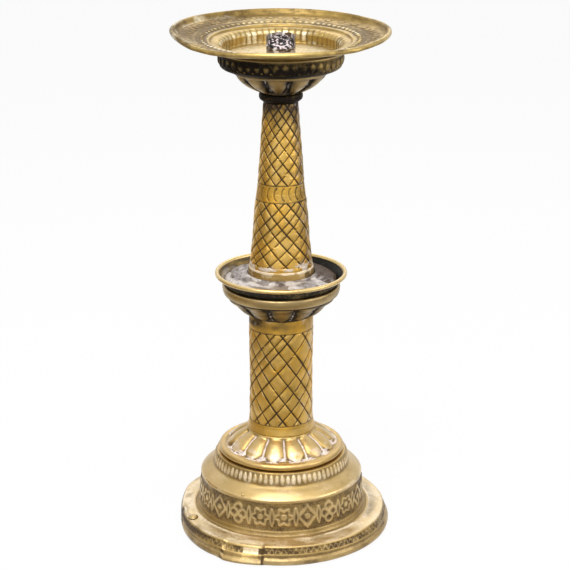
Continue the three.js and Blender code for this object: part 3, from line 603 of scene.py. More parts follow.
def mid_bowl_detail(a, r, z, s):
    stop = s.max() - MID_BOWL_FLOOR
    start = stop - MID_BOWL_LOBES
    push, patina_and_shade, pale, wear_and_highlight = lobes(
        a, r, s, count=12, middle=1.0, start=start, stop=stop, deep=2.4, rib=1.5, round_end=0.52)
    groove = bell(s - start, 0.9)
    lower = ease((s - start) / 4)
    mottle = noise(a, s, 40, 4, 51)
    # the groove under the moulding is darkened by patina and painted shade
    patina_and_shade = patina_and_shade * 2.0 + 0.55 + 0.24 * mottle - 0.52 * wear_and_highlight + groove
    patina_and_shade = np.where(s > start - 1, patina_and_shade + 0.2 * lower, 0.16 + 0.18 * mottle)
    patches = ease((noise(a, s, 9, 30, 52) - 0.45) * 2) * ease(1 - np.cos(a + 0.4))
    patina_and_shade += 0.5 * patches * (s < start)
    pale = pale * 0.8 * ease(0.4 + noise(a, s, 50, 3, 53)) * lower
    # a painted highlight on the moulding's front left, in rubbed and pale colour
    left = ease(0.4 + np.cos(a + 0.35))
    moulding = (s < start) * (0.4 + 0.6 * left)
    pale += 0.15 * moulding * left
    return push - 0.6 * groove, looks(patina_and_shade, pale, wear_and_highlight * 0.4 + moulding)


mid_bowl_line = chain(
    skin(0.6, (47.2, 27.2), (50.6, 27.2), (51.6, 26.9), (52.2, 25.4),
         arc((43.5, 25.4), 8.7, 12.1, 0, -60), (42.9, 11.4),
         curve((42.9, 11.2), (37.6, 3.9), (30.3, 0.4)), (28.5, 0.0)),
    skin(4.2, (28.5, 0.0), (6, 0.0)),
)
shell("mid_bowl_sheet", "mid_bowl", "dull_brass", mid_bowl_line, columns=576, wall=SHEET,
      detail=mid_bowl_detail, every=5,
      form=lambda a, r, z, s: 0.25 * noise(a, s, 13, 12, 54) * (r > 30))


def upper_bowl_detail(a, r, z, s):
    start, stop = 8.6, 35.6
    push, patina_and_shade, pale, wear_and_highlight = lobes(
        a, r, s, count=11, middle=-5.0, start=start, stop=stop, deep=3.0, rib=1.8, round_end=0.62)
    mottle = noise(a, s, 30, 4, 61)
    patina_and_shade = patina_and_shade * 2.0 + 0.68 + 0.26 * mottle - 0.6 * wear_and_highlight
    # the band above the lobes is painted lighter towards the right: a painted highlight
    right = 0.5 + 0.5 * np.sin(a)
    patina_and_shade = np.where(s < start, 0.45 + 0.25 * mottle - 0.35 * right, patina_and_shade)
    pale = pale * 0.6 * ease(0.35 + noise(a, s, 44, 3, 62))
    # painted glints on the lobes
    pale += 0.25 * wear_and_highlight * ease(noise(a, s, 40, 3, 63) * 2 - 0.3)
    return push, looks(patina_and_shade, pale, wear_and_highlight * 0.4 + 0.5 * (s < start))


upper_bowl_line = chain(
    skin(0.55, (36.3, 19.6), (40.5, 19.6), (41.3, 18.8), (41.3, 17.4), (40.2, 16.9),
         curve((39.7, 16.6), (35.4, 6.9), (18.0, 0.4)), (16.6, 0.0)),
    skin(3, (16.6, 0.0), (6, 0.0)),
)
shell("upper_bowl_sheet", "upper_bowl", "dull_brass", upper_bowl_line, columns=484,
      wall=SHEET, detail=upper_bowl_detail, every=5)


# Shafts

def shaft_detail(lines, top, bottom, depth, seed):
    """Lattice between two heights, with a fine line at each end of it."""
    def detail(a, r, z, s):
        cut, near = strokes(a, r, z, lines)
        field = band(z, bottom, top, 0.5)
        cut = cut * field
        pillow = ease(near / 3.6) * field
        worn = 0.5 + 0.5 * noise(a, z, 16, 9, seed + 4)
        rim = bell(z - top, 0.55) + bell(z - bottom, 0.55)
        push = 0.34 * pillow - depth * cut - 0.35 * rim
        push += 0.1 * noise(a, z, 36, 5, seed) + 0.12 * noise(a, z, 12, 13, seed + 1)
        patina_and_shade = 0.06 + 0.9 * cut + 0.7 * rim + 0.16 * noise(a, z, 30, 6, seed + 2)
        patina_and_shade += 0.2 * ease(1 - near / 1.8) * field
        glint = 0.75 * bell(near - 1.25, 0.35) * field
        glint = glint * ease(0.2 + noise(a, z, 40, 5, seed + 3))
        # residue and a painted sheen on the right side
        chalk_and_sheen = 0.29 * ease(2 * np.sin(a) - 0.9) * ease(0.5 + noise(a, z, 34, 6, seed + 5))
        return push, looks(patina_and_shade, 0.5 * glint + chalk_and_sheen, 0.5 * pillow + 0.6 * worn + glint)
    return detail


SHAFT_TOP, SHAFT_END = 96.0, 9.0
shaft_lines = lattice(
    SHAFT_TOP, SHAFT_END,
    (round_the_back((-90, -61, -29, -1, 41), 12), 1.5),
    (round_the_back((-11, 9, 25, 59, 99, 122, 152), 13), -1.78),
    half=0.7, seed=71,
)
shaft_lattice = shaft_detail(shaft_lines, SHAFT_TOP, SHAFT_END, depth=0.8, seed=72)


def lower_shaft_detail(a, r, z, s):
    push, look = shaft_lattice(a, r, z, s)
    # the plain top has a painted shadow under the bowl, darker towards the left, and some residue
    left = 0.6 - 0.4 * np.sin(a)
    shade = ease((z - 97) / 6.5) * (0.48 + 0.4 * noise(a, z, 16, 6, 75)) * left
    look[..., 0] += shade + 0.25 * ease((-0.5 - z) / 3) + 0.12 * ease((z - SHAFT_TOP) / 3)
    look[..., 1] += 0.3 * ease((z - 97) / 7) * ease(noise(a, z, 34, 4, 76) * 2 - 0.4)
    look[..., 2] += 0.5 * band(z, 0, 6, 1)
    return push, look


lower_shaft_line = skin(0.52, (28.3, 107.9), (28.5, 105.7), (28.5, 92.7), (27.8, 48.7),
    (28.4, 13.1), (28.8, 8.7), (29.3, 5.2), (30.3, 0.0), bend=2.5)
shell("lower_shaft_tube", "lower_shaft", "brass", lower_shaft_line, columns=352, wall=SHEET,
      detail=lower_shaft_detail, every=10)


CONE_TOP, BAND_TOP, BAND_END, CONE_END = 160.3, 91.4, 76.6, 18.6
cone_lines = (
    lattice(CONE_TOP + 2, BAND_TOP, (round_the_back((-84, -52, -20, 13), 11), 2.4),
            (round_the_back((6, 32, 58, 84, 115, 145), 12), -2.7), half=0.55, seed=81)
    + lattice(BAND_END, CONE_END, (round_the_back((-72, -43, -16, 14), 12), 2.0),
              (round_the_back((8, 34, 56, 78), 12), -2.4), half=0.55, seed=82)
)
cone_upper = shaft_detail(cone_lines, CONE_TOP + 3, BAND_TOP, depth=0.65, seed=83)
cone_lower = shaft_detail(cone_lines, BAND_END, CONE_END - 4, depth=0.65, seed=84)
CRESCENTS, CRESCENT_WIDE, CRESCENT_TALL = 20, 3.4, 5.6


def cone_detail(a, r, z, s):
    up, up_look = cone_upper(a, r, z, s)
    down, down_look = cone_lower(a, r, z, s)
    middle = (BAND_TOP + BAND_END) / 2
    above = z > middle
    push = np.where(above, up, down)
    look = np.where(above[..., None], up_look, down_look)
    # punched crescents in the plain band
    rng = default_rng(85)
    u, k = cell(a, CRESCENTS, 4.0)
    x = u * 2 * pi * r / CRESCENTS + rng.uniform(-0.4, 0.4, CRESCENTS)[k]
    y = z - middle
    reach = np.abs(np.hypot((x - 2.2) / CRESCENT_WIDE, y / CRESCENT_TALL) - 1) * CRESCENT_WIDE
    crescent = ease(1.5 - reach / 0.55) * (x < 1.6) * band(np.abs(y), -1, 5.9, 0.6)
    push -= 0.35 * crescent
    look[..., 0] += 0.5 * crescent
    # painted shade towards the neck, painted shade that leaves the right side darker and less
    # polished, and solder residue at the foot
    neck = ease((z - 134) / 20)
    soot_and_shade = (0.55 + 0.45 * noise(a, z, 16, 6, 86)) * (0.85 + 0.15 * np.sin(a))
    look[..., 0] += 0.7 * neck * soot_and_shade + 0.3 * ease((z - 153) / 6)
    right_shade = ease(2.2 * np.sin(a) - 0.95)
    look[..., 0] += 0.3 * right_shade
    look[..., 2] *= 1 - 0.6 * right_shade
    foot = ease((24 - z) / 6)
    look[..., 1] += foot * ease(0.5 + 1.1 * noise(a, z, 22, 3, 87))
    return push, look


cone_line = skin(0.56, (14.6, 161.6), (14.9, 160), (15.0, 159.3), (17.6, 124.5), (20.2, 89.9),
    (22.1, 76.6), (23.6, 60.9), (25.0, 40.3), (26.3, 28.4), (27.3, 18.1),
    (27.3, 14), (27.3, 0), bend=2.5)
shell("upper_shaft_tube", "upper_shaft", "brass", cone_line, columns=300, wall=SHEET,
      detail=cone_detail, every=12)


def collar_detail(a, r, z, s):
    """A ragged band, open in one place, with solder residue on its upper edge."""
    outer = r > 27.7
    edge = ease((z - 13.3) / 1.5) * outer
    gap = band(azimuth(a), 47, 64, 3)
    ragged = noise(a, s, 40, 4, 91)
    push = 0.2 * noise(a, s, 18, 5, 92) * outer - 0.35 * gap * (z > 8) * outer
    patina_and_shade = 0.12 + 0.15 * ragged + 0.5 * gap
    pale = edge * ease(0.75 + ragged) + 0.35 * ease(ragged * 2 - 0.6)
    return push, looks(patina_and_shade, pale, 0.3)


collar_line = skin(0.6, (27.6, 15.8), (28.1, 16.0), (28.4, 15.3), (29.0, 9.5), (29.6, 0.3),
    (29.5, 0), (27.6, 0), bend=0.3)
shell("collar_band", "shaft_collar", "brass", collar_line, columns=240, detail=collar_detail)


# Dark ring and egg moulding

def neck_detail(a, r, z, s):
    wear = noise(a, s, 20, 3, 95)
    return 0.08 * wear, looks(0.92 + 0.18 * wear, 0, 0.2 * (r > 18.3))


neck_line = skin(0.5, (6, 12.4), (17.8, 12.4), (18.6, 11.7), (18.8, 10.7), (18.8, 8.6),
    (18.1, 7.0), (16.4, 5.6), (15.6, 5.2), (15.3, 5.0), (13.2, 5.0),
    (13.2, 0), (6, 0), bend=0.3)
shell("neck_ring_turned", "neck_ring", "dark_brass", neck_line, columns=180,
      detail=neck_detail)


EGG_COUNT, EGG_RING, EGG_MIDDLE = 42, 53, 9.0


def egg_detail(a, r, z, s):
    rng = default_rng(101)
    u, k = cell(a, EGG_COUNT, 4.0)
    size = rng.uniform(0.7, 1.0, EGG_COUNT)[k]
    x, y = u * 2 * pi * EGG_RING / EGG_COUNT, z - EGG_MIDDLE
    egg = bowl(np.hypot(x / 2.7, y / 3.8)) * size
    bead = bowl(np.hypot((np.abs(x) - 3.85) / 1.0, (y + 4.3) / 1.0)) * size
    field = band(z, 3.6, 13.2, 0.8) * (r > 48)
    push = field * (1.0 * egg + 0.55 * bead - 0.65) + 0.1 * noise(a, s, 60, 4, 103) * field
    # painted light: the ring and its eggs are lighter towards the right
    side = 0.5 + 0.5 * np.sin(a - 0.35)
    patina_and_shade = 0.8 + 0.24 * noise(a, s, 26, 5, 102) - 0.45 * ease(side * 2 - 0.7)
    show = np.maximum(egg, bead) * ease(0.7 + noise(a, s, 20, 5, 104))
    patina_and_shade = patina_and_shade - field * (0.62 + 0.2 * side) * show + field * 0.15
    lip = ease((z - 14.2) / 0.8)
    recess = band(z, 0.6, 3.0, 1.0) * (r > 46)
    return push, looks(patina_and_shade + 0.4 * recess - 0.7 * lip, 0.25 * lip, lip + 0.35 * egg * field)


egg_line = chain(
    skin(0.5, (52.5, 16.0), (53.1, 16.0), (53.5, 15.1), (53.8, 13.5), (53.8, 9.2),
         curve((53.7, 8.2), (53.1, 1.1), (45.2, 0.1)), (44.2, 0), bend=0.4),
    skin(2.4, (44.2, 0), (34.3, 0)),
)
shell("egg_moulding", "egg_ring", "dark_brass", egg_line, columns=756, wall=THIN_SHEET,
      detail=egg_detail, every=5)


# Small pan and its solder

RIB_COUNT = 110


def mid_pan_detail(a, r, z, s):
    lumps = noise(a, s, 46, 4, 111)
    inner = r < 54.4
    right_back = ease(np.cos(a - 2.2) * 3 - 1.0)
    patina_and_shade = np.where(inner, 0.48 + 0.3 * lumps + 1.0 * right_back, 0.02 + 0.1 * lumps)
    # a painted highlight low on the inner wall at the left
    bright = inner * band(z, 1.4, 6.5, 3) * ease(np.cos(a + 1.3) * 2 - 0.9)
    pale = 0.5 * bright + 0.2 * inner * ease(lumps)
    return 0.12 * lumps * inner, looks(patina_and_shade, pale, ~inner * 1.1)


def mid_pan_ribs(a, r, z, s):
    """The wall's hidden side, seen from outside, has upright ribs."""
    return 0.35 * ease(np.abs(cell(a, RIB_COUNT)[0]) * 2) * band(s, 49.5, 57, 0.8)


mid_pan_line = chain(
    skin(5, (6, 0.8), (47, 0.8)),
    skin(0.6, (47, 0.8), (48.6, 0.8), curve((49.4, 1.4), (51.4, 5.4), (53.8, 8.1)),
         arc((56.5, 9.4), 1.9, 1.9, 150, -130, 0.5), bend=0.3),
)
shell("mid_pan_sheet", "mid_pan", "dull_brass", mid_pan_line, columns=880, wall=THIN_SHEET,
      detail=mid_pan_detail, under=mid_pan_ribs, every=1, under_dirt=0.78)


def solder_form(a, r, z, s):
    top = (z > 1) * ease((r - 29.2) / 2)
    flow = 1.1 * noise(a, r, 9, 8, 121) + 0.7 * noise(a, r, 20, 4, 122)
    return top * (flow + 0.35 * noise(a, r, 46, 2, 123)) * ease((50.2 - r) / 3)


def solder_detail(a, r, z, s):
    fine = noise(a, r, 70, 1.5, 124)
    brown = ease(noise(a, r, 13, 7, 125) * 2.2 - 0.4) * (0.35 + 0.65 * ease(0.5 + np.sin(a - 0.5)))
    dark = ease(np.cos(a - 2.2) * 3 - 1.3)
    # paler towards the front: a painted highlight
    pale = 0.6 * ease(noise(a, r, 26, 4, 126) * 2) + 0.25 * ease(np.cos(a + 0.2))
    rough = 0.3 * fine + 0.35 * noise(a, r, 34, 3, 127)
    patina_and_shade = 1.1 * brown + dark + 0.6 * ease(noise(a, r, 60, 2.5, 128) * 2 - 0.3)
    return rough * (z > 1) * (r > 30.5), looks(patina_and_shade, pale * (1 - dark), 0)


solder_line = skin(0.7, (29.9, 9.4), (31.2, 9.0), (36.0, 7.6), (44.3, 5.4), (48.3, 4.3),
    (49.5, 3.7), (48.2, 0.1), (47.7, 0), (29.9, 0), bend=1.0)
shell("solder_pool", "pan_solder", "lead", solder_line, columns=300, form=solder_form,
      detail=solder_detail)


# Top pan, in its leaning frame

WALL_FOOT, WALL_TOP, FLANGE_START, RIM_START = 1.4, 12.6, 62.4, 91.2
FLUTES, PAN_BEADS, PAN_OVALS = 58, 74, 66
BEAD_RING, OVAL_RING = 66.9, 79.0
# how far the rim is bent down, in mm, in each direction in degrees
RIM_DROP = (
    (-180, 0.4), (-150, 0.2), (-120, -1.0), (-95, -1.8), (-78, -2.2), (-66, -1.0), (-52, 1.2),
    (-38, 2.0), (-26, 1.5), (-12, 0.2), (8, -0.3), (26, 0.0), (42, 0.3), (55, -0.8), (72, -1.4),
    (95, -1.0), (125, 0.8), (150, 0.6), (180, 0.4),
)


def pan_bent(a, r, z, s):
    """The flange and its rim sag and rise by a few millimetres."""
    rim = ease((r - 68) / 22)
    drop = np.interp(azimuth(a), *np.transpose(RIM_DROP))
    return -0.5 * rim * np.abs(noise(a, s, 7, 90, 131)), -0.9 * rim * drop


def pan_mottle(a, s):
    return noise(a, s, 34, 7, 134)


def pan_ground(on, a, r, z, s):
    """Patina and wear all over, darker on the two sides of the flange."""
    fine = noise(a, s, 110, 2.5, 135)
    patchy = noise(a, s, 15, 12, 140)
    flange = r > FLANGE_START
    on.push += 0.12 * noise(a, s, 40, 9, 133) * (r > 45)
    on.patina_and_shade += 0.12 + 0.16 * pan_mottle(a, s) + 0.08 * fine
    on.patina_and_shade += flange * (0.27 + 0.26 * np.abs(np.sin(a)) + 0.24 * patchy + 0.16 * fine)
    on.patina_and_shade += 0.14 * flange * ease(-np.sin(a))
    on.pale += 0.06 * ease(fine)
    on.wear_and_highlight += 0.3 + 0.3 * pan_mottle(a, s)


def pan_well(on, a, r, z, s):
    """Flutes on the well's wall with painted glare on them, dark between them at the right, and
    the seam at its foot.
    """
    mottle = pan_mottle(a, s)
    u, k = cell(a, FLUTES, 2.0)
    wall = band(z, WALL_FOOT, WALL_TOP, 1.2) * (r > 49.5) * (r < 60)
    flute = bowl(u / 0.45) * default_rng(137).uniform(0.55, 1.0, FLUTES)[k]
    right = ease(0.2 + np.sin(a)) * ease(0.5 - np.cos(a))
    on.push += wall * 0.45 * (flute - 0.5)
    on.patina_and_shade += wall * (0.36 + 0.4 * right) * (1 - flute) * ease(0.8 + mottle)
    on.wear_and_highlight += 0.5 * wall * flute
    # the flutes' pale colour low on the wall is painted glare
    on.pale += 0.55 * wall * (z < 11) * flute * ease(0.9 - 0.5 * right + mottle)
    on.patina_and_shade += 0.3 * band(z, 0.9, 2.0, 0.6) * band(r, 49.6, 51.0, 0.5)
    on.wear_and_highlight += band(r, 47.6, 50.0, 0.8) * (z < 2)


def pan_beads(on, a, r, z, s):
    """A ridge round the well, a ring of beads and a bright fillet inside it."""
    on.push += 0.2 * band(r, 60.4, 62.6, 0.6)
    on.patina_and_shade += 0.3 * band(r, 58.6, 60.8, 0.8) * ease(0.8 + pan_mottle(a, s)) * (z > 11)
    u, k = cell(a, PAN_BEADS)
    x = u * 2 * pi * BEAD_RING / PAN_BEADS
    bead = bowl(np.hypot(x / 2.3, (r - BEAD_RING) / 1.9))
    bead = bead * default_rng(136).uniform(0.7, 1.0, PAN_BEADS)[k]
    beads = band(r, BEAD_RING - 2.4, BEAD_RING + 2.4, 0.7)
    glare = ease(0.6 + noise(a, s, 16, 9, 138)) * (0.5 + 0.5 * ease(0.6 + np.cos(a)))
    on.push += beads * (1.1 * bead - 0.3)
    on.patina_and_shade += beads * (0.3 * (1 - bead) - 0.5 * bead)
    on.wear_and_highlight += beads * bead
    on.pale += beads * 0.9 * bead * glare
    fillet = band(r, 62.6, 64.3, 0.7)
    on.pale += 0.35 * fillet * glare
    on.wear_and_highlight += fillet


def pan_ovals(on, a, r, z, s):
    """A ring of uneven punched ovals, with a fine groove inside it."""
    rng = default_rng(139)
    u, k = cell(a, PAN_OVALS, 1.0)
    shift = rng.uniform(-0.6, 0.6, PAN_OVALS)[k]
    x = u * 2 * pi * OVAL_RING / PAN_OVALS - shift
    span = np.hypot(x / 2.7, (r - OVAL_RING - shift) / 3.4)
    strength = rng.uniform(0.35, 1.0, PAN_OVALS)[k]
    dish, outline = bowl(span) * strength, bell(span - 1, 0.22) * strength
    flat = band(r, 73, 85, 1)
    on.push += flat * 0.5 * (dish - outline)
    on.patina_and_shade += flat * (0.65 * outline - 0.12 * dish)
    on.push -= 0.25 * band(r, 71.0, 72.2, 0.6)
    on.patina_and_shade += 0.22 * band(r, 71.0, 72.4, 0.6)


def pan_residue(on, a, r, z, s):
    """Residue on the floor and the flange, painted highlights at the left of the edge, and the
    cleaner rim.
    """
    on.pale += 0.36 * (r < 47.4) * (z > 0)
    on.pale += 0.25 * ease(noise(a, s, 20, 12, 142) * 2 - 0.9) * (r > FLANGE_START)
    # painted highlights in patches at the left of the edge
    left = ease(-3.2 * np.sin(a) - 1.9) * (r > 87)
    on.pale += 0.38 * left * ease(0.5 + noise(a, s, 40, 5, 156))
    rim = r > RIM_START
    on.wear_and_highlight += 0.6 * rim
    on.patina_and_shade -= 0.12 * rim


pan_line = chain(
    skin(4, (0, 0.8), (44, 0.8)),
    skin(0.8, (44, 0.8), (49.8, 0.8), (50.8, 1.8), (50.8, 8.6),
         curve((50.8, 8.6), (52.6, 13.0), (59.6, 13.0), 10), (60.6, 14.7), (62.2, 14.7),
         (67.0, 15.9), (86.5, 18.2), (88.9, 20.0),
         arc((91.7, 21.2), 2.2, 2.2, 180, -80, 0.6), bend=0.5),
)
pan_detail = surface(pan_ground, pan_well, pan_beads, pan_ovals, pan_residue)
shell("top_pan_sheet", "top_pan", "brass", pan_line, columns=740, wall=THIN_SHEET,
      detail=pan_detail, move=pan_bent, every=4, lean=True)
wire("pan_edge_wire", "top_pan_rim_wire", (91.7, 21.2), 1.05, pan_bent, lean=True)


# Candle tube and its fill, also in the pan's leaning frame

TUBE_BOTTOM, TUBE_TOP = 1.1, 18.9
TUBE_RADIUS, TUBE_BORE = 12.2, 10.9
BREAK_HEIGHT, BREAK_SLOPE = 10.0, 6
FILL_TOP, FILL_SLOPE = 13.2, 21


def broken_top(a, z):
    """The front half of the wall is broken away, with a ragged edge, lowest at the front."""
    ragged = 0.55 * noise(a, z, 26, 60, 141) + 0.3 * noise(a, z, 70, 60, 143)
    y = -TUBE_RADIUS * np.cos(a)
    stump = BREAK_HEIGHT + y * tan(radians(BREAK_SLOPE)) + 0.8 * ragged
    whole = TUBE_TOP - 0.5 + 0.5 * ragged
    return stump + (whole - stump) * ease((np.abs(azimuth(a)) - 86) / 7)


def tube_move(a, r, z, s):
    share = (broken_top(a, z) - TUBE_BOTTOM) / (TUBE_TOP - TUBE_BOTTOM)
    return 0 * a, (z - TUBE_BOTTOM) * (share - 1)


def tube_detail(a, r, z, s):
    mottle = noise(a, s, 18, 4, 144)
    soot_and_shade = ease((z - 9) / 6)
    push = 0.14 * noise(a, s, 24, 2, 145) * (r > 11.4)
    crust = ease(noise(a, s, 30, 3, 146) * 2) * 0.6
    return push, looks(0.35 + 0.35 * mottle + 0.4 * soot_and_shade, crust, 0.2)


tube_line = skin(0.5, (TUBE_BORE, TUBE_TOP), (TUBE_RADIUS, TUBE_TOP), (TUBE_RADIUS, TUBE_BOTTOM),
    (TUBE_BORE, TUBE_BOTTOM), bend=0.25)
shell("tube_stub", "candle_tube", "lead", tube_line, columns=160, move=tube_move,
      detail=tube_detail, lean=True)


def crust_move(a, r, z, s):
    """Lumps of burnt wax that slope up to the back of the tube."""
    x, y = r * np.sin(a), -r * np.cos(a)
    share = ease((z - 5) / 6)
    lumps = 1.1 * flat_noise(x, y, 4.5, 149) + 0.6 * flat_noise(x, y, 2.0, 150)
    rise = y * tan(radians(FILL_SLOPE)) + lumps * ease((10.9 - r) / 1.5) - 0.4
    return 0 * a, share * rise


def fill_detail(a, r, z, s):
    x, y = r * np.sin(a), -r * np.cos(a)
    flecks = flat_noise(x, y, 1.4, 147) + 0.8 * flat_noise(x, y, 0.7, 148)
    top = z > 9
    pale = 0.85 * ease(flecks * 1.3 - 0.05 + 0.35 * ease(-y / 8)) * top
    return 0 * a, looks(ease(0.75 - flecks * 0.8) * top + 0.8 * ~top, pale, 0)


fill_line = skin(0.45, (0, FILL_TOP), (10.5, FILL_TOP), (10.6, TUBE_BOTTOM), (0, TUBE_BOTTOM),
    bend=0.3)
shell("burnt_fill", "tube_fill", "wax", fill_line, columns=96, move=crust_move,
      detail=fill_detail, lean=True)


# Repair rivets, round and hammered

def rivet(name, node_name, head, spot, normal, degrees, seed):
    """A rivet whose head stands on the sheet at spot, (radius, height), with its shank inside."""
    shank = head * 0.42
    high = head * 0.36
    line = skin(head / 9, (0, 0.3 + high), (head * 0.45, 0.3 + high * 0.93),
                (head * 0.8, 0.3 + high * 0.6), (head * 0.98, 0.45), (head, 0.3), (shank, 0.3),
                (shank, -1.3), (head * 0.7, -1.3), (head * 0.7, -1.3 - high), (0, -1.3 - high),
                bend=head / 14)
    piece = shell(
        name, node_name, "brass", line, columns=48, base=0,
        form=lambda a, r, z, s: head * 0.02 * noise(a, s, 7, head / 3, seed) * (r > 0.3),
        detail=lambda a, r, z, s: (0 * a, looks(0.2 + 0.5 * (r > head * 0.9), 0, 0.7 * (z > 0.6))),
    )
    t = radians(degrees)
    out = Vector((sin(t), -cos(t), 0))
    place = Matrix.Translation((out * spot[0] + Vector((0, 0, spot[1]))) * MM)
    up = (out * normal[0] + Vector((0, 0, normal[1]))).normalized()
    piece.data.transform(place @ up.to_track_quat("Z", "Y").to_matrix().to_4x4())


rivet("flange_rivet_head", "flange_rivet", head=4.8, spot=(87.7, 17.4), normal=(0.085, 1),
      degrees=-65, seed=151)
rivet("shoulder_rivet_head", "shoulder_rivet", head=1.7, spot=(71.4, 52.4),
      normal=(3.14, 3.43), degrees=-28.1, seed=152)


# Materials

def feed(made, key, value):
    """Links a node's input to a socket or gives it a value."""
    if isinstance(value, bpy.types.NodeSocket):
        made.id_data.links.new(value, made.inputs[key])
    else:
        made.inputs[key].default_value = value


def node(tree, kind, inputs=(), **settings):
    made = tree.nodes.new("ShaderNode" + kind)
    for key, value in settings.items():
        setattr(made, key, value)
    for key, value in dict(inputs).items():
        feed(made, key, value)
    return made


def mix(share, a, b):
    """Colour a where share is 0 and b where it is 1."""
    made = node(share.id_data, "Mix", data_type="RGBA")
    for index, value in ((0, share), (6, a), (7, b)):
        feed(made, index, value)
    return made.outputs[2]


def ramp(value, low_end, high_end, to_low=0.0, to_high=1.0):
    made = node(value.id_data, "MapRange", {
        "Value": value, "From Min": low_end, "From Max": high_end, "To Min": to_low,
        "To Max": to_high})
    return made.outputs[0]


def maths(operation, a, b):
    return node(a.id_data, "Math", {0: a, 1: b}, operation=operation).outputs[0]


def add(a, b):
    return maths("ADD", a, b)


def times(a, b):
    return maths("MULTIPLY", a, b)


def rgb(*value):
    return (*value, 1.0)


def new_material(name):
    material = bpy.data.materials.new(name)
    material.use_nodes = True
    return material


finishes = {}


def coat(name, clean, second, spots, dark, residue, bright=None, *, rough, dark_metal, metal=1.0,
         grain=1.0, streak=6.0, gloss=0.3):
    """Metal whose look attribute says where it is darkened by patina and painted shade, whitened
    by residue and painted highlights, and brightened by wear and painted highlights.
    clean and second alternate in clouds with fine spots on them. dark_metal is the metallic
    share of dark and crusted places, streak stretches the brushing and gloss is the coat."""
    finishes[name] = new_material(name)
    tree = finishes[name].node_tree
    shader = tree.nodes["Principled BSDF"]
    place = node(tree, "TexCoord").outputs["Object"]
    look = node(tree, "Attribute", attribute_name="look").outputs["Color"]
    patina_and_shade, pale, wear_and_highlight = node(tree, "SeparateColor", {0: look}).outputs

    def lumps(scale, detail, roughness, vector=place):
        return node(tree, "TexNoise", {
            "Vector": vector, "Scale": scale, "Detail": detail, "Roughness": roughness,
        }).outputs["Fac"]

    stretched = node(tree, "Mapping", {"Vector": place, "Scale": (1, 1, streak)}).outputs[0]
    cloud = lumps(55, 4, 0.55)
    speck = lumps(420, 3, 0.6)
    brushed = lumps(260, 3, 0.6, stretched)
    base = mix(ramp(cloud, 0.35, 0.65), rgb(*clean), rgb(*second))
    base = mix(ramp(speck, 0.6, 0.78, 0, 0.6), base, rgb(*spots))
    if bright:
        base = mix(ramp(wear_and_highlight, 0.3, 1.1, 0, 0.7), base, rgb(*bright))
    dark_share = ramp(times(patina_and_shade, ramp(speck, 0.25, 0.6, 0.75, 1.1)), 0.12, 0.85)
    base = mix(dark_share, base, rgb(*dark))
    pale_share = ramp(times(pale, ramp(speck, 0.3, 0.6, 0.5, 1.2)), 0.15, 0.75)
    base = mix(pale_share, base, rgb(*residue))
    feed(shader, "Base Color", base)

    solid = maths("MAXIMUM", dark_share, pale_share)
    feed(shader, "Metallic", ramp(solid, 0, 1, metal, dark_metal))
    polish = ramp(wear_and_highlight, 0, 1, rough + 0.06, rough - 0.08)
    polish = add(polish, ramp(brushed, 0.3, 0.7, -0.05, 0.07))
    polish = add(polish, ramp(solid, 0, 1, 0, 0.25))
    feed(shader, "Roughness", polish)
    feed(shader, "Specular IOR Level", 0.15)
    feed(shader, "Coat Weight", gloss)
    feed(shader, "Coat Roughness", 0.3)

    height = add(lumps(900, 4, 0.65), times(brushed, 0.8))
    height = add(height, times(lumps(160, 3, 0.5), 1.4))
    bump = node(tree, "Bump", {"Height": height, "Strength": 0.3 * grain, "Distance": 0.0005})
    feed(shader, "Normal", bump.outputs[0])


coat(
    "golden_brass", (0.68, 0.385, 0.052), (0.46, 0.285, 0.058), (0.64, 0.22, 0.02),
    (0.04, 0.022, 0.008), (0.66, 0.57, 0.48), (0.78, 0.53, 0.17), rough=0.41, dark_metal=0.4,
    gloss=0.2)
coat(
    "pale_brass", (0.52, 0.355, 0.13), (0.42, 0.28, 0.085), (0.44, 0.22, 0.05),
    (0.085, 0.048, 0.015), (0.84, 0.71, 0.51), (0.74, 0.55, 0.27), rough=0.38, dark_metal=0.5,
    gloss=0.4)
coat(
    "dome_brass", (0.5, 0.33, 0.105), (0.39, 0.255, 0.07), (0.44, 0.22, 0.05),
    (0.11, 0.075, 0.05), (0.8, 0.71, 0.66), (0.72, 0.51, 0.22), rough=0.38, dark_metal=0.5,
    gloss=0.4)
coat(
    "pan_brass", (0.46, 0.31, 0.095), (0.33, 0.225, 0.06), (0.3, 0.16, 0.045),
    (0.135, 0.083, 0.022), (0.88, 0.82, 0.64), (0.72, 0.53, 0.19), rough=0.38, dark_metal=0.6,
    gloss=0.2)
coat(
    "small_pan_brass", (0.5, 0.345, 0.125), (0.38, 0.26, 0.085), (0.3, 0.16, 0.045),
    (0.012, 0.01, 0.006), (0.72, 0.66, 0.58), (0.8, 0.6, 0.27), rough=0.38, dark_metal=0.15,
    gloss=0.2)
coat(
    "dull_brass", (0.38, 0.265, 0.095), (0.29, 0.2, 0.075), (0.24, 0.13, 0.035),
    (0.02, 0.012, 0.005), (0.52, 0.45, 0.44), (0.5, 0.36, 0.16), rough=0.42, dark_metal=0.6)
coat(
    "dark_brass", (0.34, 0.23, 0.075), (0.24, 0.165, 0.055), (0.14, 0.08, 0.03),
    (0.012, 0.007, 0.003), (0.42, 0.37, 0.33), (0.5, 0.36, 0.15), rough=0.42, dark_metal=0.7,
    gloss=0.1)
coat(
    "lead_solder", (0.36, 0.32, 0.3), (0.23, 0.2, 0.19), (0.17, 0.12, 0.07),
    (0.07, 0.04, 0.02), (0.66, 0.61, 0.57), rough=0.42, dark_metal=0.4, metal=0.7, grain=1.6,
    streak=1.0)
coat(
    "burnt_wax", (0.16, 0.12, 0.115), (0.07, 0.055, 0.055), (0.04, 0.025, 0.025),
    (0.01, 0.008, 0.008), (0.66, 0.56, 0.55), rough=0.55, dark_metal=0.0, metal=0.0, grain=1.5,
    streak=1.0)
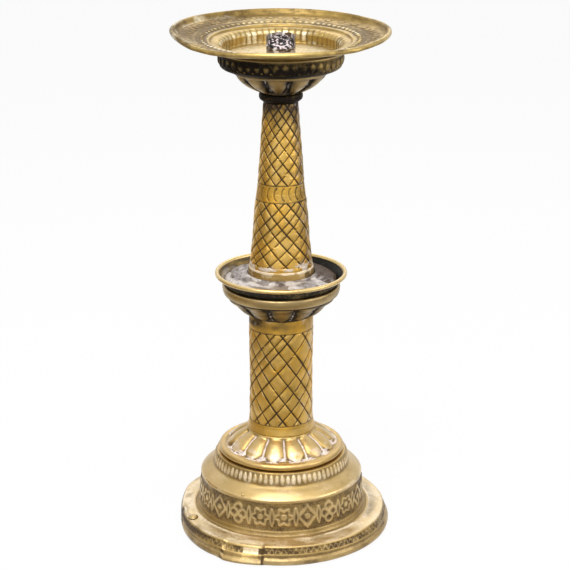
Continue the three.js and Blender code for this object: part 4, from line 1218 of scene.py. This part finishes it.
coat(
    "rusted_iron", (0.13, 0.11, 0.1), (0.08, 0.07, 0.065), (0.2, 0.08, 0.03),
    (0.03, 0.02, 0.015), (0.3, 0.25, 0.2), rough=0.55, dark_metal=0.4, metal=0.8, grain=1.6,
    streak=1.0)

SLOTS = {
    "brass": "pale_brass", "dull_brass": "dull_brass", "dark_brass": "dark_brass",
    "lead": "lead_solder", "wax": "burnt_wax", "iron": "rusted_iron",
}
OWN_FINISH = {
    "dome_sheet": "dome_brass", "lower_shaft_tube": "golden_brass",
    "upper_shaft_tube": "golden_brass", "top_pan_sheet": "pan_brass",
    "mid_pan_sheet": "small_pan_brass",
}
node_slots = {part["node"]: part["material_slot"] for part in frame["record"]["subparts"]}
for name, thing in frame["nodes"].items():
    thing.data.materials.clear()
    thing.data.materials.append(finishes[SLOTS[node_slots[name]]])
for name, slot in piece_slots.items():
    finish = OWN_FINISH.get(name, SLOTS[slot])
    bpy.data.objects[name].data.materials.append(finishes[finish])


# Floor, background, lamps, camera

def seen_ray(tree):
    """1 for rays from the camera or from a reflection."""
    ray = node(tree, "LightPath").outputs
    either = maths("MAXIMUM", ray["Is Camera Ray"], ray["Is Glossy Ray"])
    return maths("MAXIMUM", either, ray["Is Transmission Ray"])


def plain(name, color, white_share):
    """Diffuse, and part of it plain white where the camera or a reflection sees it."""
    material = new_material(name)
    tree = material.node_tree
    tree.nodes.clear()
    diffuse = node(tree, "BsdfDiffuse", {"Color": rgb(*color)}).outputs[0]
    white = node(tree, "Emission", {"Color": rgb(1, 1, 1), "Strength": 1.0}).outputs[0]
    share = times(seen_ray(tree), white_share)
    both = node(tree, "MixShader", {0: share, 1: diffuse, 2: white}).outputs[0]
    node(tree, "OutputMaterial", {"Surface": both})
    return material


bpy.ops.mesh.primitive_plane_add(size=30, location=(0, 0, -0.0003))
floor = bpy.context.object
floor.name = "floor"
floor.data.materials.append(plain("pale_floor", (0.86, 0.85, 0.83), 0.92))


def card(name, first, last, color):
    """A dark studio card between two corners, lying or standing, that only reflections see."""
    (x0, y0, z0), (x1, y1, z1) = first, last
    mesh = bpy.data.meshes.new(name)
    corners = [first, (x1, y0, z1), last, (x0, y1, z0)]
    mesh.from_pydata(corners, [], [(0, 1, 2, 3)])
    mesh.materials.append(plain(name, color, 0.0))
    made = put(name, mesh)
    for use in ("camera", "diffuse", "shadow", "transmission"):
        setattr(made, "visible_" + use, False)


card("front_card", (-0.9, -0.38, 0.0005), (0.9, -0.14, 0.0005), (0.24, 0.2, 0.14))
card("floor_card", (-0.9, -0.3, 0.001), (-0.33, 0.5, 0.001), (0.34, 0.26, 0.13))
card("left_card", (-0.9, 0.6, 0.0), (-0.9, -0.7, 0.5), (0.42, 0.33, 0.19))
card("right_card", (0.75, 0.6, 0.0), (0.75, -0.5, 0.3), (0.26, 0.22, 0.17))

world = bpy.data.worlds.new("studio")
scene.world = world
world.use_nodes = True
tree = world.node_tree
tree.nodes.clear()
soft = node(tree, "Background", {"Color": rgb(0.97, 0.98, 1.0), "Strength": 0.55}).outputs[0]
white = node(tree, "Background", {"Color": rgb(1, 1, 1), "Strength": 1.0}).outputs[0]
sky = node(tree, "MixShader", {0: seen_ray(tree), 1: soft, 2: white}).outputs[0]
node(tree, "OutputWorld", {"Surface": sky})


def lamp(name, place, aim, size, power):
    """A rectangular lamp that faces the point it aims at; metres and watts."""
    data = bpy.data.lights.new(name, "AREA")
    data.shape = "RECTANGLE"
    data.size, data.size_y = size
    data.energy = power
    made = put(name, data)
    made.location = place
    made.rotation_euler = (Vector(aim) - Vector(place)).to_track_quat("-Z", "Y").to_euler()


lamp("key", place=(-0.25, -1.3, 1.45), aim=(0, 0, 0.2), size=(1.3, 0.7), power=17)
lamp("top", place=(-0.05, -0.4, 1.55), aim=(0, -0.05, 0.05), size=(1.0, 0.35), power=8)
lamp("fill", place=(1.3, -0.4, 0.7), aim=(0, 0, 0.25), size=(0.6, 1.2), power=6)
lamp("back", place=(0.1, 1.2, 1.3), aim=(0, 0, 0.3), size=(1.0, 0.6), power=4)

CAMERA_PLACE, CAMERA_TILT = (0.0035, -1.4, 0.6881), 18.257
FOCAL_PIXELS, IMAGE_PIXELS = 1665.4, 570

view = bpy.data.cameras.new("camera")
view.sensor_width = 36
view.lens = FOCAL_PIXELS * view.sensor_width / IMAGE_PIXELS
view.clip_end = 60
camera = put("camera", view)
camera.location = CAMERA_PLACE
camera.rotation_euler = (radians(90 - CAMERA_TILT), 0, 0)
scene.camera = camera
scene.view_settings.view_transform = "Standard"
